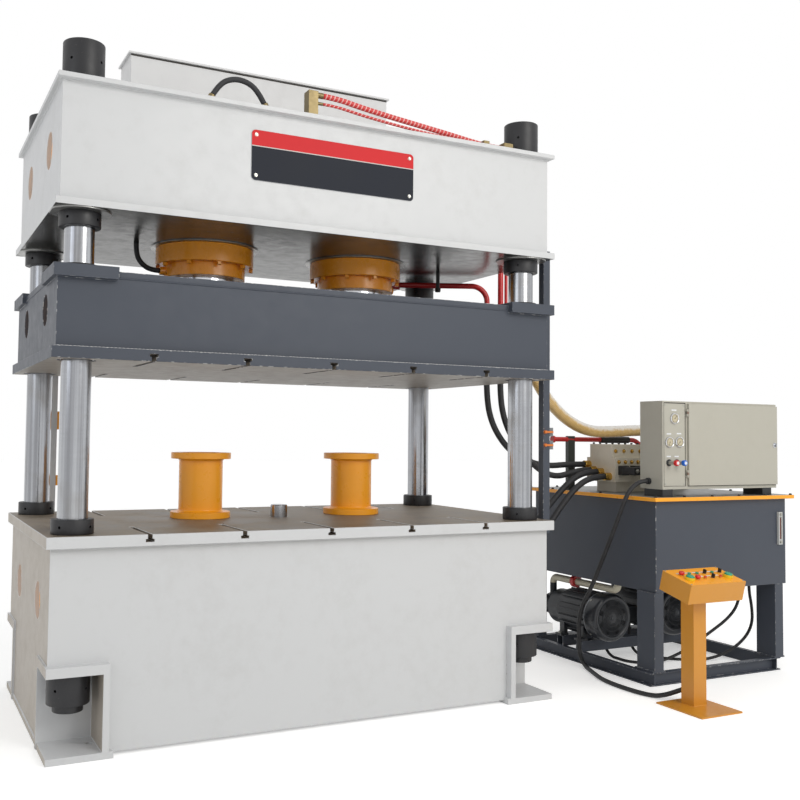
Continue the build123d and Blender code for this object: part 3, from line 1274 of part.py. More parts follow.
# Each control: name, kind, column and row
CONTROLS = (
    ("emergency_stop_button", "mushroom", 0, BACK_ROW),
    ("green_button_left", "button", 1, BACK_ROW),
    ("green_button_middle", "button", 2, BACK_ROW),
    ("selector_left", "selector", 3, BACK_ROW),
    ("green_button_right", "button", 4, BACK_ROW),
    ("selector_right", "selector", 5, BACK_ROW),
    ("palm_button_left", "palm", 0, FRONT_ROW),
    ("return_button", "mushroom", 1, FRONT_ROW),
    ("selector_middle", "selector", 3, FRONT_ROW),
    ("palm_button_right", "palm", 5, FRONT_ROW),
)
LAMPS = ((2, FRONT_ROW), (4, FRONT_ROW))
COLLAR_DIAMETERS = {"mushroom": 36, "button": 30, "selector": 30, "palm": 62}


def pedestal():
    """The pedestal: a square tube welded to a floor plate, cut off under the console."""
    x0, x1, y0, y1 = PEDESTAL_PLATE
    half = POST_SIZE / 2
    top = CONSOLE_FRONT_BOTTOM[1] + CONSOLE_DEPTH
    post = block(PEDESTAL_X - half, PEDESTAL_X + half, POST_FRONT, POST_FRONT + POST_SIZE, 0, top)
    inner = half - POST_WALL
    middle = POST_FRONT + half
    post -= block(PEDESTAL_X - inner, PEDESTAL_X + inner, middle - inner, middle + inner, 0, top + 1)
    above = CONSOLE_PLACE * block(-CONSOLE_LENGTH, 2 * CONSOLE_LENGTH, -CONSOLE_LENGTH, CONSOLE_LENGTH, 0, CONSOLE_LENGTH)
    stand = (post - above) + block(x0, x1, y0, y1, 0, PEDESTAL_PLATE_THICKNESS)
    gland = beyond(CONDUIT[-2], CONDUIT[-1], CONDUIT_GLAND, 1.4 * CONDUIT_DIAMETER)
    return stand + (gland - block(PEDESTAL_X - inner, PEDESTAL_X + inner, middle - inner, middle + inner, 0, top))


def console():
    """The sloping console box, with a hole and a fixed collar for each control and two small lamps."""
    t = CONSOLE_SHEET
    box = block(0, CONSOLE_LENGTH, 0, CONSOLE_DEPTH, 0, CONSOLE_HEIGHT)
    box = fillet(box.edges().filter_by(Axis.Z), 4)
    box -= block(t, CONSOLE_LENGTH - t, t, CONSOLE_DEPTH - t, t, CONSOLE_HEIGHT - t)
    shape = CONSOLE_PLACE * box
    for _, kind, column, row in CONTROLS:
        shape += on_console(column, row) * Pos(0, 0, COLLAR_HEIGHT / 2) * Cylinder(COLLAR_DIAMETERS[kind] / 2, COLLAR_HEIGHT)
    for column, row in LAMPS:
        shape += on_console(column, row) * Pos(0, 0, COLLAR_HEIGHT) * Cylinder(HOLE_DIAMETER / 2, 2 * COLLAR_HEIGHT)
    for _, _, column, row in CONTROLS:
        shape -= on_console(column, row) * Cylinder(HOLE_DIAMETER / 2, 4 * COLLAR_HEIGHT)
    return shape


def control(kind):
    """One control about its own axis, with Z out of the console and zero at the face."""
    stem_top = COLLAR_HEIGHT + PUSH_TRAVEL + 1
    stem = Pos(0, 0, (stem_top - STEM_LENGTH) / 2) * Cylinder(STEM_DIAMETER / 2, stem_top + STEM_LENGTH)
    if kind == "mushroom":
        cap = Pos(0, 0, stem_top + 9) * Cylinder(20, 18)
        cap = fillet(cap.edges().filter_by(GeomType.CIRCLE).sort_by(Axis.Z)[-1], 8)
        return stem + cap
    if kind == "palm":
        cap = Pos(0, 0, stem_top + 10) * Cylinder(27, 20)
        cap = fillet(cap.edges().filter_by(GeomType.CIRCLE).sort_by(Axis.Z)[-1], 7)
        return stem + cap
    if kind == "button":
        return stem + Pos(0, 0, stem_top + 2) * Cylinder(13, 4)
    knob = Pos(0, 0, stem_top - PUSH_TRAVEL + 6) * Cylinder(13, 12)
    return stem + knob + Pos(0, 0, stem_top + 12) * Box(9, 26, 20)


save("console", console())
for name, kind, column, row in CONTROLS:
    save(name, on_console(column, row) * control(kind))


# Hoses and cables: the hand-placed points of each route
RETURN_HOSE = [
    (PREFILL_TANK_LENGTH / 2, 520, 4235),
    (1440, 520, 4235),
    (1790, 440, 4200),
    (2040, 300, 4010),
    (2150, 140, 3690),
    (2180, 30, 3340),
    (2182, 0, 2985),
    (2215, 0, 2640),
    (2370, 0, 2330),
    (2610, 0, 2085),
    (2900, 0, 1955),
    (3210, 0, 1962),
    (3500, 0, FILTER_INLET_Z),
    (FILTER_INLET_X, 0, FILTER_INLET_Z),
]
PRESSURE_HOSES = (
    [
        (CYLINDER_PIPE_X, CYLINDER_PIPE_Y, RISER_BOTTOM),
        (CYLINDER_PIPE_X, CYLINDER_PIPE_Y, 2250),
        (1915, 55, 2050),
        (2010, 45, 1880),
        (2150, 35, 1750),
        (2330, 25, 1680),
        (2500, 12, 1657),
        (2680, HOSE_PORTS[0][0], HOSE_PORTS[0][1]),
        (HOSE_PORT_X, *HOSE_PORTS[0]),
    ],
    [
        (CROWN_PIPE_X, 0, RISER_BOTTOM),
        (CROWN_PIPE_X, 0, 2250),
        (2005, -8, 2060),
        (2080, -25, 1890),
        (2200, -42, 1745),
        (2345, -58, 1618),
        (2500, -70, 1567),
        (2660, -75, 1600),
        (2770, *HOSE_PORTS[1]),
        (HOSE_PORT_X, *HOSE_PORTS[1]),
    ],
)
EJECTOR_HOSES = (
    [
        (HOSE_PORT_X, *HOSE_PORTS[2]),
        (2740, *HOSE_PORTS[2]),
        (2590, -158, 1545),
        (2430, -143, 1395),
        (2270, -127, 1215),
        (2110, -113, 1095),
        (1970, *EJECTOR_PORTS[0]),
        (BODY_X + BED_PORT_LENGTH, *EJECTOR_PORTS[0]),
    ],
    [
        (HOSE_PORT_X, *HOSE_PORTS[3]),
        (2745, *HOSE_PORTS[3]),
        (2590, -253, 1510),
        (2430, -240, 1345),
        (2275, -226, 1140),
        (2120, -213, 985),
        (1975, *EJECTOR_PORTS[1]),
        (BODY_X + BED_PORT_LENGTH, *EJECTOR_PORTS[1]),
    ],
)
CONDUIT = [
    (CABINET_LEFT - GLAND_LENGTH, GLAND_Y, GLAND_Z),
    (2756, GLAND_Y, GLAND_Z),
    (2679, -797, 1520),
    (2636, -774, 1445),
    (2636, -697, 1293),
    (2636, -565, 1039),
    (2636, -450, 830),
    (2636, -347, 646),
    (2636, -245, 505),
    (2636, -203, 370),
    (2636, -207, 240),
    (2632, -213, 126),
    (2625, -253, 57),
    (2612, -322, 17.3),
    (2580, -400, 17.3),
    (2520, -540, 17.3),
    (2462, -690, 17.3),
    (2440, -850, 17.3),
    (2442, -1010, 17.3),
    (2455, -1130, 17.3),
    (2490, -1225, 17.3),
    (2524, -1289, 36),
    (2556, -1349, 67),
    (2586, -1405, 99),
]
MOTOR_CABLES = (
    [
        (4070, -600, TANK_BOTTOM),
        (4070, -600, 590),
        (4030, -598, 455),
        (3925, -580, 350),
        (3757, -540, 242),
        (3590, -490, 125),
        (3450, -440, 50),
        (3320, -405, 13),
        (3203, -395, 12.8),
        (3125, -350, 12.8),
        (3080, -272, 12.8),
        (3082, -187, 12.8),
        (3080, -106.5, 12.8),
        (3080, -39, 51.8),
        (3080, CABLE_ENTRY_Y - 2, 119.3),
        (3080, CABLE_ENTRY_Y, TERMINAL_BOX_BOTTOM - 85),
        (3080, CABLE_ENTRY_Y, TERMINAL_BOX_BOTTOM),
    ],
    [
        (4130, -640, TANK_BOTTOM),
        (4130, -640, 600),
        (4146, -655, 470),
        (4144, -665, 340),
        (4090, -660, 230),
        (3985, -630, 130),
        (3868, -575, 55),
        (3740, -507, 14),
        (3630, -455, 12.8),
        (3535, -395, 12.8),
        (3460, -325, 12.8),
        (3408, -250, 12.8),
        (3379, -183, 12.8),
        (3370, -106.5, 12.8),
        (3370, -39, 51.8),
        (3370, CABLE_ENTRY_Y - 2, 119.3),
        (3370, CABLE_ENTRY_Y, TERMINAL_BOX_BOTTOM - 85),
        (3370, CABLE_ENTRY_Y, TERMINAL_BOX_BOTTOM),
    ],
)
CROWN_HOSES = (
    [
        (-830, CROWN_LINES_Y, 4060),
        (-783, CROWN_LINES_Y, 4142),
        (-700, CROWN_LINES_Y, 4190),
        (-605, CROWN_LINES_Y, 4190),
        (-523, CROWN_LINES_Y, 4142),
        (-476, CROWN_LINES_Y, 4060),
    ],
    [
        (-CYLINDER_X - CYLINDER_DIAMETER / 2 - PORT_LENGTH, 0, PORT_HEIGHT),
        (-1001, 0, PORT_HEIGHT),
        (-1066.8, 0, 3083),
        (-1104.8, 0, 3148.8),
        (-1104.8, 0, CROWN_BOTTOM),
    ],
)
PILOT_HOSES = (
    [
        (PILOT_BLOCK_RIGHT + 50, CROWN_LINES_Y, 4183),
        (50, CROWN_LINES_Y, 4183),
        (236, CROWN_LINES_Y, 4152),
        (476, CROWN_LINES_Y, 4122),
        (724, CROWN_LINES_Y, 4096),
        (980, CROWN_LINES_Y, 4068),
        (1190, CROWN_LINES_Y, 4042),
        (1320, CROWN_LINES_Y, 4036),
        (1400, CROWN_LINES_Y, 4036),
    ],
    [
        (PILOT_BLOCK_RIGHT + 50, CROWN_LINES_Y, 4128),
        (50, CROWN_LINES_Y, 4128),
        (230, CROWN_LINES_Y - 3, 4099),
        (460, CROWN_LINES_Y - 10, 4072),
        (700, CROWN_LINES_Y - 22, 4048),
        (930, CROWN_LINES_Y - 36, 4031),
        (1100, CROWN_LINES_Y - 40, 4030),
        (1200, CROWN_LINES_Y - 40, 4030),
    ],
)


def hose(points, diameter):
    """A round hose: straight runs joined by arcs as large as the runs allow."""
    path = FilletPolyline(*points, radius=corner_radii(points))
    profile = Plane(path @ 0, z_dir=path % 0) * Circle(diameter / 2)
    tube = sweep(profile, path=path)
    section = math.pi * (diameter / 2) ** 2
    print(f"length {path.length:.0f}, volume against section times length {tube.volume / section / path.length:.4f}")
    return tube


def corner_radii(points):
    """The arc at each corner: 0.45 of the shorter run, divided by the tangent of half the turn."""
    radii = []
    for before, corner, after in zip(points, points[1:], points[2:]):
        one = Vector(*corner) - Vector(*before)
        two = Vector(*after) - Vector(*corner)
        turn = math.radians(one.get_angle(two))
        radii.append(0.45 * min(one.length, two.length) / math.tan(turn / 2))
    return radii


def report_route(name, points, diameter):
    """Print what a route's bends and runs come to."""
    runs = [(Vector(*b) - Vector(*a)).length for a, b in zip(points, points[1:])]
    ratios = [max(a, b) / min(a, b) for a, b in zip(runs, runs[1:])]
    radii = corner_radii(points)
    print(
        f"{name}: radii {[round(r) for r in radii]}, least {min(radii) / diameter:.1f} diameters, "
        f"runs {[round(r) for r in runs]}, ratio {max(ratios):.2f}"
    )


save("crown", crown())
save("pedestal", pedestal())
ROUTES = (
    ("return_hose", [RETURN_HOSE], RETURN_HOSE_DIAMETER),
    ("pressure_hoses", PRESSURE_HOSES, HOSE_DIAMETER),
    ("ejector_hoses", EJECTOR_HOSES, HOSE_DIAMETER),
    ("console_conduit", [CONDUIT], CONDUIT_DIAMETER),
    ("motor_cables", MOTOR_CABLES, CABLE_DIAMETER),
    ("crown_hoses", CROWN_HOSES, CROWN_HOSE_DIAMETER),
    ("pilot_hoses", PILOT_HOSES[:1], PILOT_HOSE_DIAMETER),
)
THIN_PILOT_HOSE = PILOT_HOSES[1]
for node, routes, size in ROUTES:
    pieces = []
    for points in routes:
        report_route(node, points, size)
        pieces.append(hose(points, size))
    if node == "pilot_hoses":
        report_route("thin pilot hose", THIN_PILOT_HOSE, THIN_HOSE_DIAMETER)
        pieces.append(hose(THIN_PILOT_HOSE, THIN_HOSE_DIAMETER))
    save_group(node, pieces)
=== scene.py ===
import bmesh
import bpy
import math
from mathutils import Matrix, Vector


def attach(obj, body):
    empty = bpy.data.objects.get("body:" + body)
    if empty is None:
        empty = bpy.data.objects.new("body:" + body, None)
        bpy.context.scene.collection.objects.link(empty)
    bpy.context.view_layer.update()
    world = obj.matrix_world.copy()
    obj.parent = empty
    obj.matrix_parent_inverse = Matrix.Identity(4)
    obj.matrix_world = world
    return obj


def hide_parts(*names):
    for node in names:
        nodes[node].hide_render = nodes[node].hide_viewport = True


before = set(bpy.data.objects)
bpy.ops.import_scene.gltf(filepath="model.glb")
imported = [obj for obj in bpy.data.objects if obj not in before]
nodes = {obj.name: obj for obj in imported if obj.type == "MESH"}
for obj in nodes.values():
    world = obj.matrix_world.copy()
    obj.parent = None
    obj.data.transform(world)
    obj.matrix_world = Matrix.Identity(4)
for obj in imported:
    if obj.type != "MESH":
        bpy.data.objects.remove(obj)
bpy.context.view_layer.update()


# The camera
# It stands where the photograph was taken: in front of the left-hand end of the press, a little
# below the middle of the slide, looking slightly up and to the right.
CAMERA_PLACE = (-2.63975, -6.57412, 1.88572)
CAMERA_YAW = -25.653
CAMERA_PITCH = 2.736
CAMERA_ROLL = 0.6933
camera_data = bpy.data.cameras.new("camera")
camera_data.sensor_width = 36
camera_data.lens = 42.66
camera_data.shift_x = 0.0711
camera_data.shift_y = -0.0106
camera_data.clip_end = 200
camera = bpy.data.objects.new("camera", camera_data)
camera.matrix_world = (
    Matrix.Translation(CAMERA_PLACE)
    @ Matrix.Rotation(math.radians(CAMERA_YAW), 4, "Z")
    @ Matrix.Rotation(math.radians(90 + CAMERA_PITCH), 4, "X")
    @ Matrix.Rotation(math.radians(CAMERA_ROLL), 4, "Z")
)
bpy.context.scene.collection.objects.link(camera)
bpy.context.scene.camera = camera
bpy.context.scene.view_settings.view_transform = "Standard"


# The floor and the light
# A pale workshop floor without end, a large soft key light in front on the right, a weaker one on
# the left and an even pale sky.
def colour(red, green, blue):
    """A colour as a screen shows it, 0 to 255, in Blender's own values."""
    parts = [v / 255 for v in (red, green, blue)]
    return tuple(v / 12.92 if v < 0.04 else ((v + 0.055) / 1.055) ** 2.4 for v in parts) + (1.0,)


def put(tree, kind, inputs=None, **settings):
    """A node with its settings made and its inputs linked or set."""
    made = tree.nodes.new(kind)
    for name, value in settings.items():
        setattr(made, name, value)
    for name, value in (inputs or {}).items():
        if isinstance(value, bpy.types.NodeSocket):
            tree.links.new(value, made.inputs[name])
        else:
            made.inputs[name].default_value = value
    return made


def add(tree, kind, inputs=None, **settings):
    """A shader node, named without its first word."""
    return put(tree, "ShaderNode" + kind, inputs, **settings)


def maths(tree, operation, *values):
    """One sum on one or two values."""
    return add(tree, "Math", dict(enumerate(values)), operation=operation).outputs[0]


def noise(tree, place, scale, detail, **more):
    """Soft unevenness, fine or coarse."""
    return add(tree, "TexNoise", {"Vector": place, "Scale": scale, "Detail": detail, **more}).outputs["Fac"]


def stretched(tree, place, *scale):
    """Coordinates scaled differently in each direction."""
    return add(tree, "Mapping", {"Vector": place, "Scale": scale}).outputs[0]


def mixed(tree, factor, first, second):
    """One colour over another by a factor."""
    return add(tree, "Mix", {0: factor, 6: first, 7: second}, data_type="RGBA").outputs[2]


def ranged(tree, value, low, high, to_low=0.0, to_high=1.0):
    """A value taken from one range to another."""
    given = {"Value": value, "From Min": low, "From Max": high, "To Min": to_low, "To Max": to_high}
    return add(tree, "MapRange", given).outputs["Result"]


def bumped(tree, height, strength, distance, **settings):
    """A normal that follows a fine height."""
    given = {"Height": height, "Strength": strength, "Distance": distance}
    return add(tree, "Bump", given, **settings).outputs[0]


def shown(tree):
    """One for the rays that the camera sees, straight, through glass or by reflection."""
    rays = add(tree, "LightPath").outputs
    direct = maths(tree, "MAXIMUM", rays["Is Camera Ray"], rays["Is Transmission Ray"])
    return maths(tree, "MAXIMUM", direct, rays["Is Glossy Ray"])


def new_material(name):
    """An empty node material, its tree and its coordinates."""
    material = bpy.data.materials.new(name)
    material.use_nodes = True
    return material, material.node_tree, add(material.node_tree, "TexCoord").outputs


def feed(tree, **inputs):
    """Link or set the Principled shader's inputs, named with _ for a space."""
    for name, value in inputs.items():
        socket = tree.nodes["Principled BSDF"].inputs[name.replace("_", " ")]
        if isinstance(value, bpy.types.NodeSocket):
            tree.links.new(value, socket)
        else:
            socket.default_value = value


def new_object(name, mesh):
    """An object at the origin that holds a finished mesh."""
    made = bpy.data.objects.new(name, mesh)
    bpy.context.scene.collection.objects.link(made)
    return made


FLOOR_REACH = 60
FLOOR_GLOW = 0.36
floor_mesh = bpy.data.meshes.new("floor")
corners = [(x * FLOOR_REACH, y * FLOOR_REACH, 0) for x, y in ((-1, -1), (1, -1), (1, 1), (-1, 1))]
floor_mesh.from_pydata(corners, [], [(0, 1, 2, 3)])
floor = new_object("floor", floor_mesh)
material, tree, coords = new_material("pale_floor")
cloud = noise(tree, coords["Object"], 0.6, 4.0)
feed(
    tree,
    Base_Color=mixed(tree, cloud, colour(244, 244, 243), colour(250, 250, 249)),
    Roughness=0.85,
    Specular_IOR_Level=0.2,
    Emission_Color=colour(255, 255, 255),
    Emission_Strength=maths(tree, "MULTIPLY", shown(tree), FLOOR_GLOW),
)
floor_mesh.materials.append(material)

world = bpy.data.worlds.new("studio")
bpy.context.scene.world = world
world.use_nodes = True
tree = world.node_tree
background = tree.nodes["Background"]
split = add(tree, "SeparateXYZ", {0: add(tree, "TexCoord").outputs["Generated"]})
rise = ranged(tree, split.outputs["Z"], -0.1, 0.9, 0.46, 0.76)
strength = add(tree, "Mix", {0: shown(tree), 2: rise, 3: 1.0}, data_type="FLOAT")
tree.links.new(strength.outputs[0], background.inputs["Strength"])
background.inputs["Color"].default_value = colour(255, 255, 255)


def soft_light(name, place, target, size, power, tint):
    """A square soft light at one place, turned to another."""
    data = bpy.data.lights.new(name, "AREA")
    data.size = size
    data.energy = power
    data.color = tint[:3]
    lamp = bpy.data.objects.new(name, data)
    turn = (Vector(target) - Vector(place)).to_track_quat("-Z", "Y")
    lamp.matrix_world = Matrix.Translation(place) @ turn.to_matrix().to_4x4()
    bpy.context.scene.collection.objects.link(lamp)


soft_light("key", (3.5, -9.5, 6.5), (0.8, 0, 1.6), 5.0, 430, colour(255, 253, 248))
soft_light("fill", (-9.0, -4.0, 4.5), (0, 0, 1.6), 4.0, 70, colour(240, 246, 255))


# The bed
# A box of thick steel plate, welded and painted light grey, with four corner recesses for the column
# nuts. Its table is machined, slotted for clamping bolts and stained with oil.
def new_group(name, given, results):
    """A shader node group with named inputs and outputs."""
    tree = bpy.data.node_groups.new(name, "ShaderNodeTree")
    for label, kind, value in given:
        socket = tree.interface.new_socket(label, in_out="INPUT", socket_type="NodeSocket" + kind)
        socket.default_value = value
    for label, kind in results:
        tree.interface.new_socket(label, in_out="OUTPUT", socket_type="NodeSocket" + kind)
    return tree, tree.nodes.new("NodeGroupInput").outputs, tree.nodes.new("NodeGroupOutput").inputs


PAINT_INPUTS = (
    ("Colour", "Color", (0.8, 0.8, 0.8, 1)),
    ("Grime", "Color", (0.3, 0.28, 0.25, 1)),
    ("Mottle", "Float", 0.5),
    ("Roughness", "Float", 0.4),
)
PAINT_RESULTS = (("Colour", "Color"), ("Roughness", "Float"), ("Height", "Float"))
paint_film, given, result = new_group("paint_film", PAINT_INPUTS, PAINT_RESULTS)
place = add(paint_film, "TexCoord").outputs["Object"]
cloud = noise(paint_film, place, 1.7, 5.0, Roughness=0.6)
patch = noise(paint_film, place, 11.0, 6.0, Roughness=0.7)
peel = noise(paint_film, place, 240.0, 2.0)
uneven = ranged(paint_film, maths(paint_film, "MULTIPLY", cloud, patch), 0.24, 0.5, 0.0, 0.22)
share = maths(paint_film, "MULTIPLY", uneven, given["Mottle"])
paint_film.links.new(mixed(paint_film, share, given["Colour"], given["Grime"]), result["Colour"])
shift = ranged(paint_film, patch, 0.3, 0.7, -0.06, 0.08)
paint_film.links.new(maths(paint_film, "ADD", given["Roughness"], shift), result["Roughness"])
paint_film.links.new(peel, result["Height"])

CHIP_INPUTS = (
    ("Paint", "Color", (0.8, 0.8, 0.8, 1)),
    ("Bare", "Color", (0.5, 0.5, 0.5, 1)),
    ("Amount", "Float", 0.3),
    ("Scale", "Float", 30.0),
)
chipping, given, result = new_group("chipped_edge", CHIP_INPUTS, (("Colour", "Color"), ("Mask", "Float")))
place = add(chipping, "TexCoord").outputs["Object"]
flakes = noise(chipping, place, given["Scale"], 5.0, Roughness=0.65)
start = maths(chipping, "SUBTRACT", 0.78, given["Amount"])
bare = ranged(chipping, flakes, start, maths(chipping, "ADD", start, 0.05))
chipping.links.new(mixed(chipping, bare, given["Paint"], given["Bare"]), result["Colour"])
chipping.links.new(bare, result["Mask"])

PLAIN_GRIME = (120, 112, 100)


def painted(name, coat, roughness, mottle=0.5, grime=PLAIN_GRIME, chips=0.0, bare=None, flake=30.0, **more):
    """Brushed or sprayed paint on steel, chipped to bare metal where chips is above nothing."""
    material, tree = new_material(name)[:2]
    given = {"Colour": colour(*coat), "Grime": colour(*grime), "Mottle": mottle, "Roughness": roughness}
    film = add(tree, "Group", given, node_tree=paint_film).outputs
    skin = film["Colour"]
    if chips:
        given = {"Paint": skin, "Bare": colour(*bare), "Amount": chips, "Scale": flake}
        skin = add(tree, "Group", given, node_tree=chipping).outputs["Colour"]
    bump = bumped(tree, film["Height"], 0.25, 0.0006)
    feed(tree, Base_Color=skin, Roughness=film["Roughness"], Normal=bump, **more)
    return material


def finished(name, shape, materials, width=0.0, edges=None, segments=2):
    """A mesh as a plain object at the origin, with its sharp edges eased by a small round.

    The rounds take the finish beside them, or the one that edges gives for it.
    """
    mesh = bpy.data.meshes.new(name)
    shape.to_mesh(mesh)
    shape.free()
    for material in materials:
        mesh.materials.append(material)
    made = new_object(name, mesh)
    mesh.shade_smooth()
    if not width:
        mesh.set_sharp_from_angle(angle=math.radians(35))
        return made
    marker = len(materials)
    mesh.materials.append(None)
    bevel = made.modifiers.new("eased_edges", "BEVEL")
    bevel.width = width
    bevel.segments = segments
    bevel.limit_method = "ANGLE"
    bevel.angle_limit = math.radians(35)
    bevel.use_clamp_overlap = False
    bevel.material = marker
    made.data = applied(made)
    rounds = bmesh.new()
    rounds.from_mesh(made.data)
    for line in rounds.edges:
        line.smooth = len({face.material_index == marker for face in line.link_faces}) < 2
    for vert in rounds.verts:
        vert.co.z = max(vert.co.z, 0.0)
    found = {}
    for face in [face for face in rounds.faces if face.material_index == marker]:
        beside = [other.material_index for line in face.edges for other in line.link_faces]
        beside = [kind for kind in beside if kind != marker] or [0]
        found[face] = edges[beside[0]] if edges else beside[0]
    for face, kind in found.items():
        face.material_index = kind
    rounds.to_mesh(made.data)
    rounds.free()
    made.data.materials.pop(index=marker)
    return made


def applied(piece):
    """The mesh that a piece's modifiers make of it. The modifiers are then gone."""
    mesh = bpy.data.meshes.new_from_object(piece.evaluated_get(bpy.context.evaluated_depsgraph_get()))
    piece.modifiers.clear()
    return mesh


def settle(piece, slot, body, *replaced):
    """Attach a piece to its moving body and hide the CAD nodes that it stands for. The slot is not used."""
    if replaced:
        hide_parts(*replaced)
    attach(piece, body)


def dressed(
    node, name, slot, finish, width, body="machine", parts=(), worn=None, kept=0, cuts=(), sheet=False
):
    """The shape of a CAD node with eased edges, its finish, and other finishes for some kinds of face.

    The worn finish is for its edges, but not for those of the first few kinds that are kept. The flat
    triangles of a thin sheet are joined first, so that its holes leave no lines in it.
    """
    shape = bmesh.new()
    shape.from_mesh(nodes[node].data)
    bmesh.ops.remove_doubles(shape, verts=shape.verts, dist=0.00002)
    for place, normal in cuts:
        everything = shape.verts[:] + shape.edges[:] + shape.faces[:]
        bmesh.ops.bisect_plane(shape, geom=everything, dist=0.00001, plane_co=place, plane_no=normal)
    for face in shape.faces:
        middle = face.calc_center_median()
        found = [number for number, (material, test) in enumerate(parts) if test(middle, face.normal)]
        face.material_index = found[0] if found else len(parts)
    if sheet:
        whole = {"verts": shape.verts[:], "edges": shape.edges[:], "delimit": {"MATERIAL"}}
        bmesh.ops.dissolve_limit(shape, angle_limit=math.radians(0.2), **whole)
    materials = [material for material, test in parts] + [finish]
    edges = list(range(len(materials)))
    if worn:
        if worn not in materials:
            materials.append(worn)
        edges[kept:] = [materials.index(worn)] * (len(edges) - kept)
    settle(finished(name, shape, materials, width, edges), slot, body, node)


LIGHT_GREY = (206, 207, 208)
LIGHT_GRIME = (128, 118, 104)
light_grey = painted("light_grey_paint", LIGHT_GREY, 0.4, 0.45, LIGHT_GRIME)
light_grey_edge = painted("light_grey_edge", LIGHT_GREY, 0.4, 0.6, LIGHT_GRIME, 0.12, (120, 112, 104))
YELLOW = (254, 170, 34)
YELLOW_GRIME = (168, 100, 30)
yellow = painted("yellow_paint", YELLOW, 0.3, 0.3, YELLOW_GRIME)
yellow_edge = painted("yellow_edge", YELLOW, 0.3, 0.4, YELLOW_GRIME, 0.12, (126, 96, 66))
# The bed's left end is painted a darker, browner grey: painted shade with a warm painted reflection.
bed_left_end_shade = painted("bed_left_end_shade_paint", (168, 159, 147), 0.42, 0.9, (126, 112, 94))

# Machined steel: long tool marks one way, oil stains and finger rust.
machined_table, tree, coords = new_material("machined_table")
lay = noise(tree, stretched(tree, coords["Object"], 1.2, 90.0, 1.0), 1.0, 4.0)
stain = noise(tree, coords["Object"], 3.1, 7.0, Roughness=0.65, Distortion=0.6)
steel = mixed(tree, lay, colour(122, 111, 97), colour(156, 143, 126))
feed(
    tree,
    Base_Color=mixed(tree, ranged(tree, stain, 0.44, 0.66), steel, colour(100, 88, 73)),
    Metallic=0.2,
    Roughness=ranged(tree, stain, 0.35, 0.65, 0.6, 0.42),
    Normal=bumped(tree, lay, 0.3, 0.0004),
)

BED_TOP = 1.290
TABLE_BOTTOM = 1.220
TABLE_HALF_LENGTH = 1.800
TABLE_HALF_DEPTH = 0.940
BODY_HALF_LENGTH = 1.770
BODY_HALF_DEPTH = 0.890
COVER_X = 1.742
SKIN = 0.005


def inside_rim(middle):
    """Whether a face is inside the outline of the table, or of the slide's plate, which is the same."""
    return abs(middle.x) < TABLE_HALF_LENGTH - SKIN and abs(middle.y) < TABLE_HALF_DEPTH - SKIN


def on_table(middle, normal):
    return middle.z > TABLE_BOTTOM - SKIN and (normal.z > 0.9 or inside_rim(middle))


def on_cover(middle, normal):
    return abs(abs(middle.x) - COVER_X) < 0.002 and abs(normal.x) > 0.9


# The faces of the bed's left end, which take the painted shade.
def on_left_end(middle, normal):
    return normal.x < -0.9 and middle.x < -1.45


dressed(
    "bed",
    "bed_weldment",
    "light_grey_paint",
    light_grey,
    0.003,
    parts=[(machined_table, on_table), (yellow, on_cover), (bed_left_end_shade, on_left_end)],
    worn=light_grey_edge,
)


def geo(tree, kind, inputs=None, **settings):
    """What a Geometry Nodes node gives, the node named without its first words."""
    return put(tree, "GeometryNode" + kind, inputs, **settings).outputs[0]


def new_tree(name, given):
    """A Geometry Nodes tree with named inputs, besides the mesh that it takes and gives."""
    tree = bpy.data.node_groups.new(name, "GeometryNodeTree")
    tree.interface.new_socket("Geometry", in_out="INPUT", socket_type="NodeSocketGeometry")
    for label, kind in given:
        tree.interface.new_socket(label, in_out="INPUT", socket_type="NodeSocket" + kind)
    tree.interface.new_socket("Geometry", in_out="OUTPUT", socket_type="NodeSocketGeometry")
    return tree, tree.nodes.new("NodeGroupInput").outputs, tree.nodes.new("NodeGroupOutput").inputs


def sized(*labels):
    """The inputs of a tree that takes some lengths and a material."""
    return *[(label, "Float") for label in labels], ("Finish", "Material")


def ended(tree, given, result, shape):
    """The end of a tree: real geometry, with its material."""
    whole = geo(tree, "RealizeInstances", {"Geometry": shape})
    coated = geo(tree, "SetMaterial", {"Geometry": whole, "Material": given["Finish"]})
    tree.links.new(coated, result["Geometry"])


def grown(name, start, tree, values):
    """What a Geometry Nodes tree makes of a mesh, as a plain mesh at the origin."""
    made = new_object(name, start)
    modifier = made.modifiers.new("growth", "NODES")
    modifier.node_group = tree
    for item in tree.interface.items_tree:
        if item.in_out == "INPUT" and item.name in values:
            modifier[item.identifier] = values[item.name]
    made.data = applied(made)
    return made


# The welds are laid by hand in short ripples, along the corner between a plate and the body.
WELD_PITCH = 0.012
WELD_INPUTS = sized("Width", "Pitch")
weld_tree, given, result = new_tree("weld_bead", WELD_INPUTS)
seam = geo(weld_tree, "MeshToCurve", {0: given["Geometry"]})
steps = geo(weld_tree, "ResampleCurve", {"Curve": seam, "Length": given["Pitch"]}, mode="LENGTH")
swell = ranged(weld_tree, maths(weld_tree, "MODULO", geo(weld_tree, "InputIndex"), 2.0), 0.0, 1.0, 0.82, 1.12)
half = maths(weld_tree, "MULTIPLY", given["Width"], 0.5)
section = geo(weld_tree, "CurvePrimitiveCircle", {"Resolution": 6, "Radius": half})
bead = {"Curve": steps, "Profile Curve": section, "Scale": swell, "Fill Caps": True}
ended(weld_tree, given, result, geo(weld_tree, "CurveToMesh", bead))


def weld(name, slot, finish, width, loops, body="machine"):
    """Weld beads along lines of corners."""
    start = bpy.data.meshes.new(name)
    corners = []
    lines = []
    for loop in loops:
        first = len(corners)
        corners += loop
        lines += [(first + i, first + i + 1) for i in range(len(loop) - 1)]
    start.from_pydata(corners, lines, [])
    bead = grown(name, start, weld_tree, {"Width": width, "Pitch": WELD_PITCH, "Finish": finish})
    bead.data.shade_smooth()
    settle(bead, slot, body)


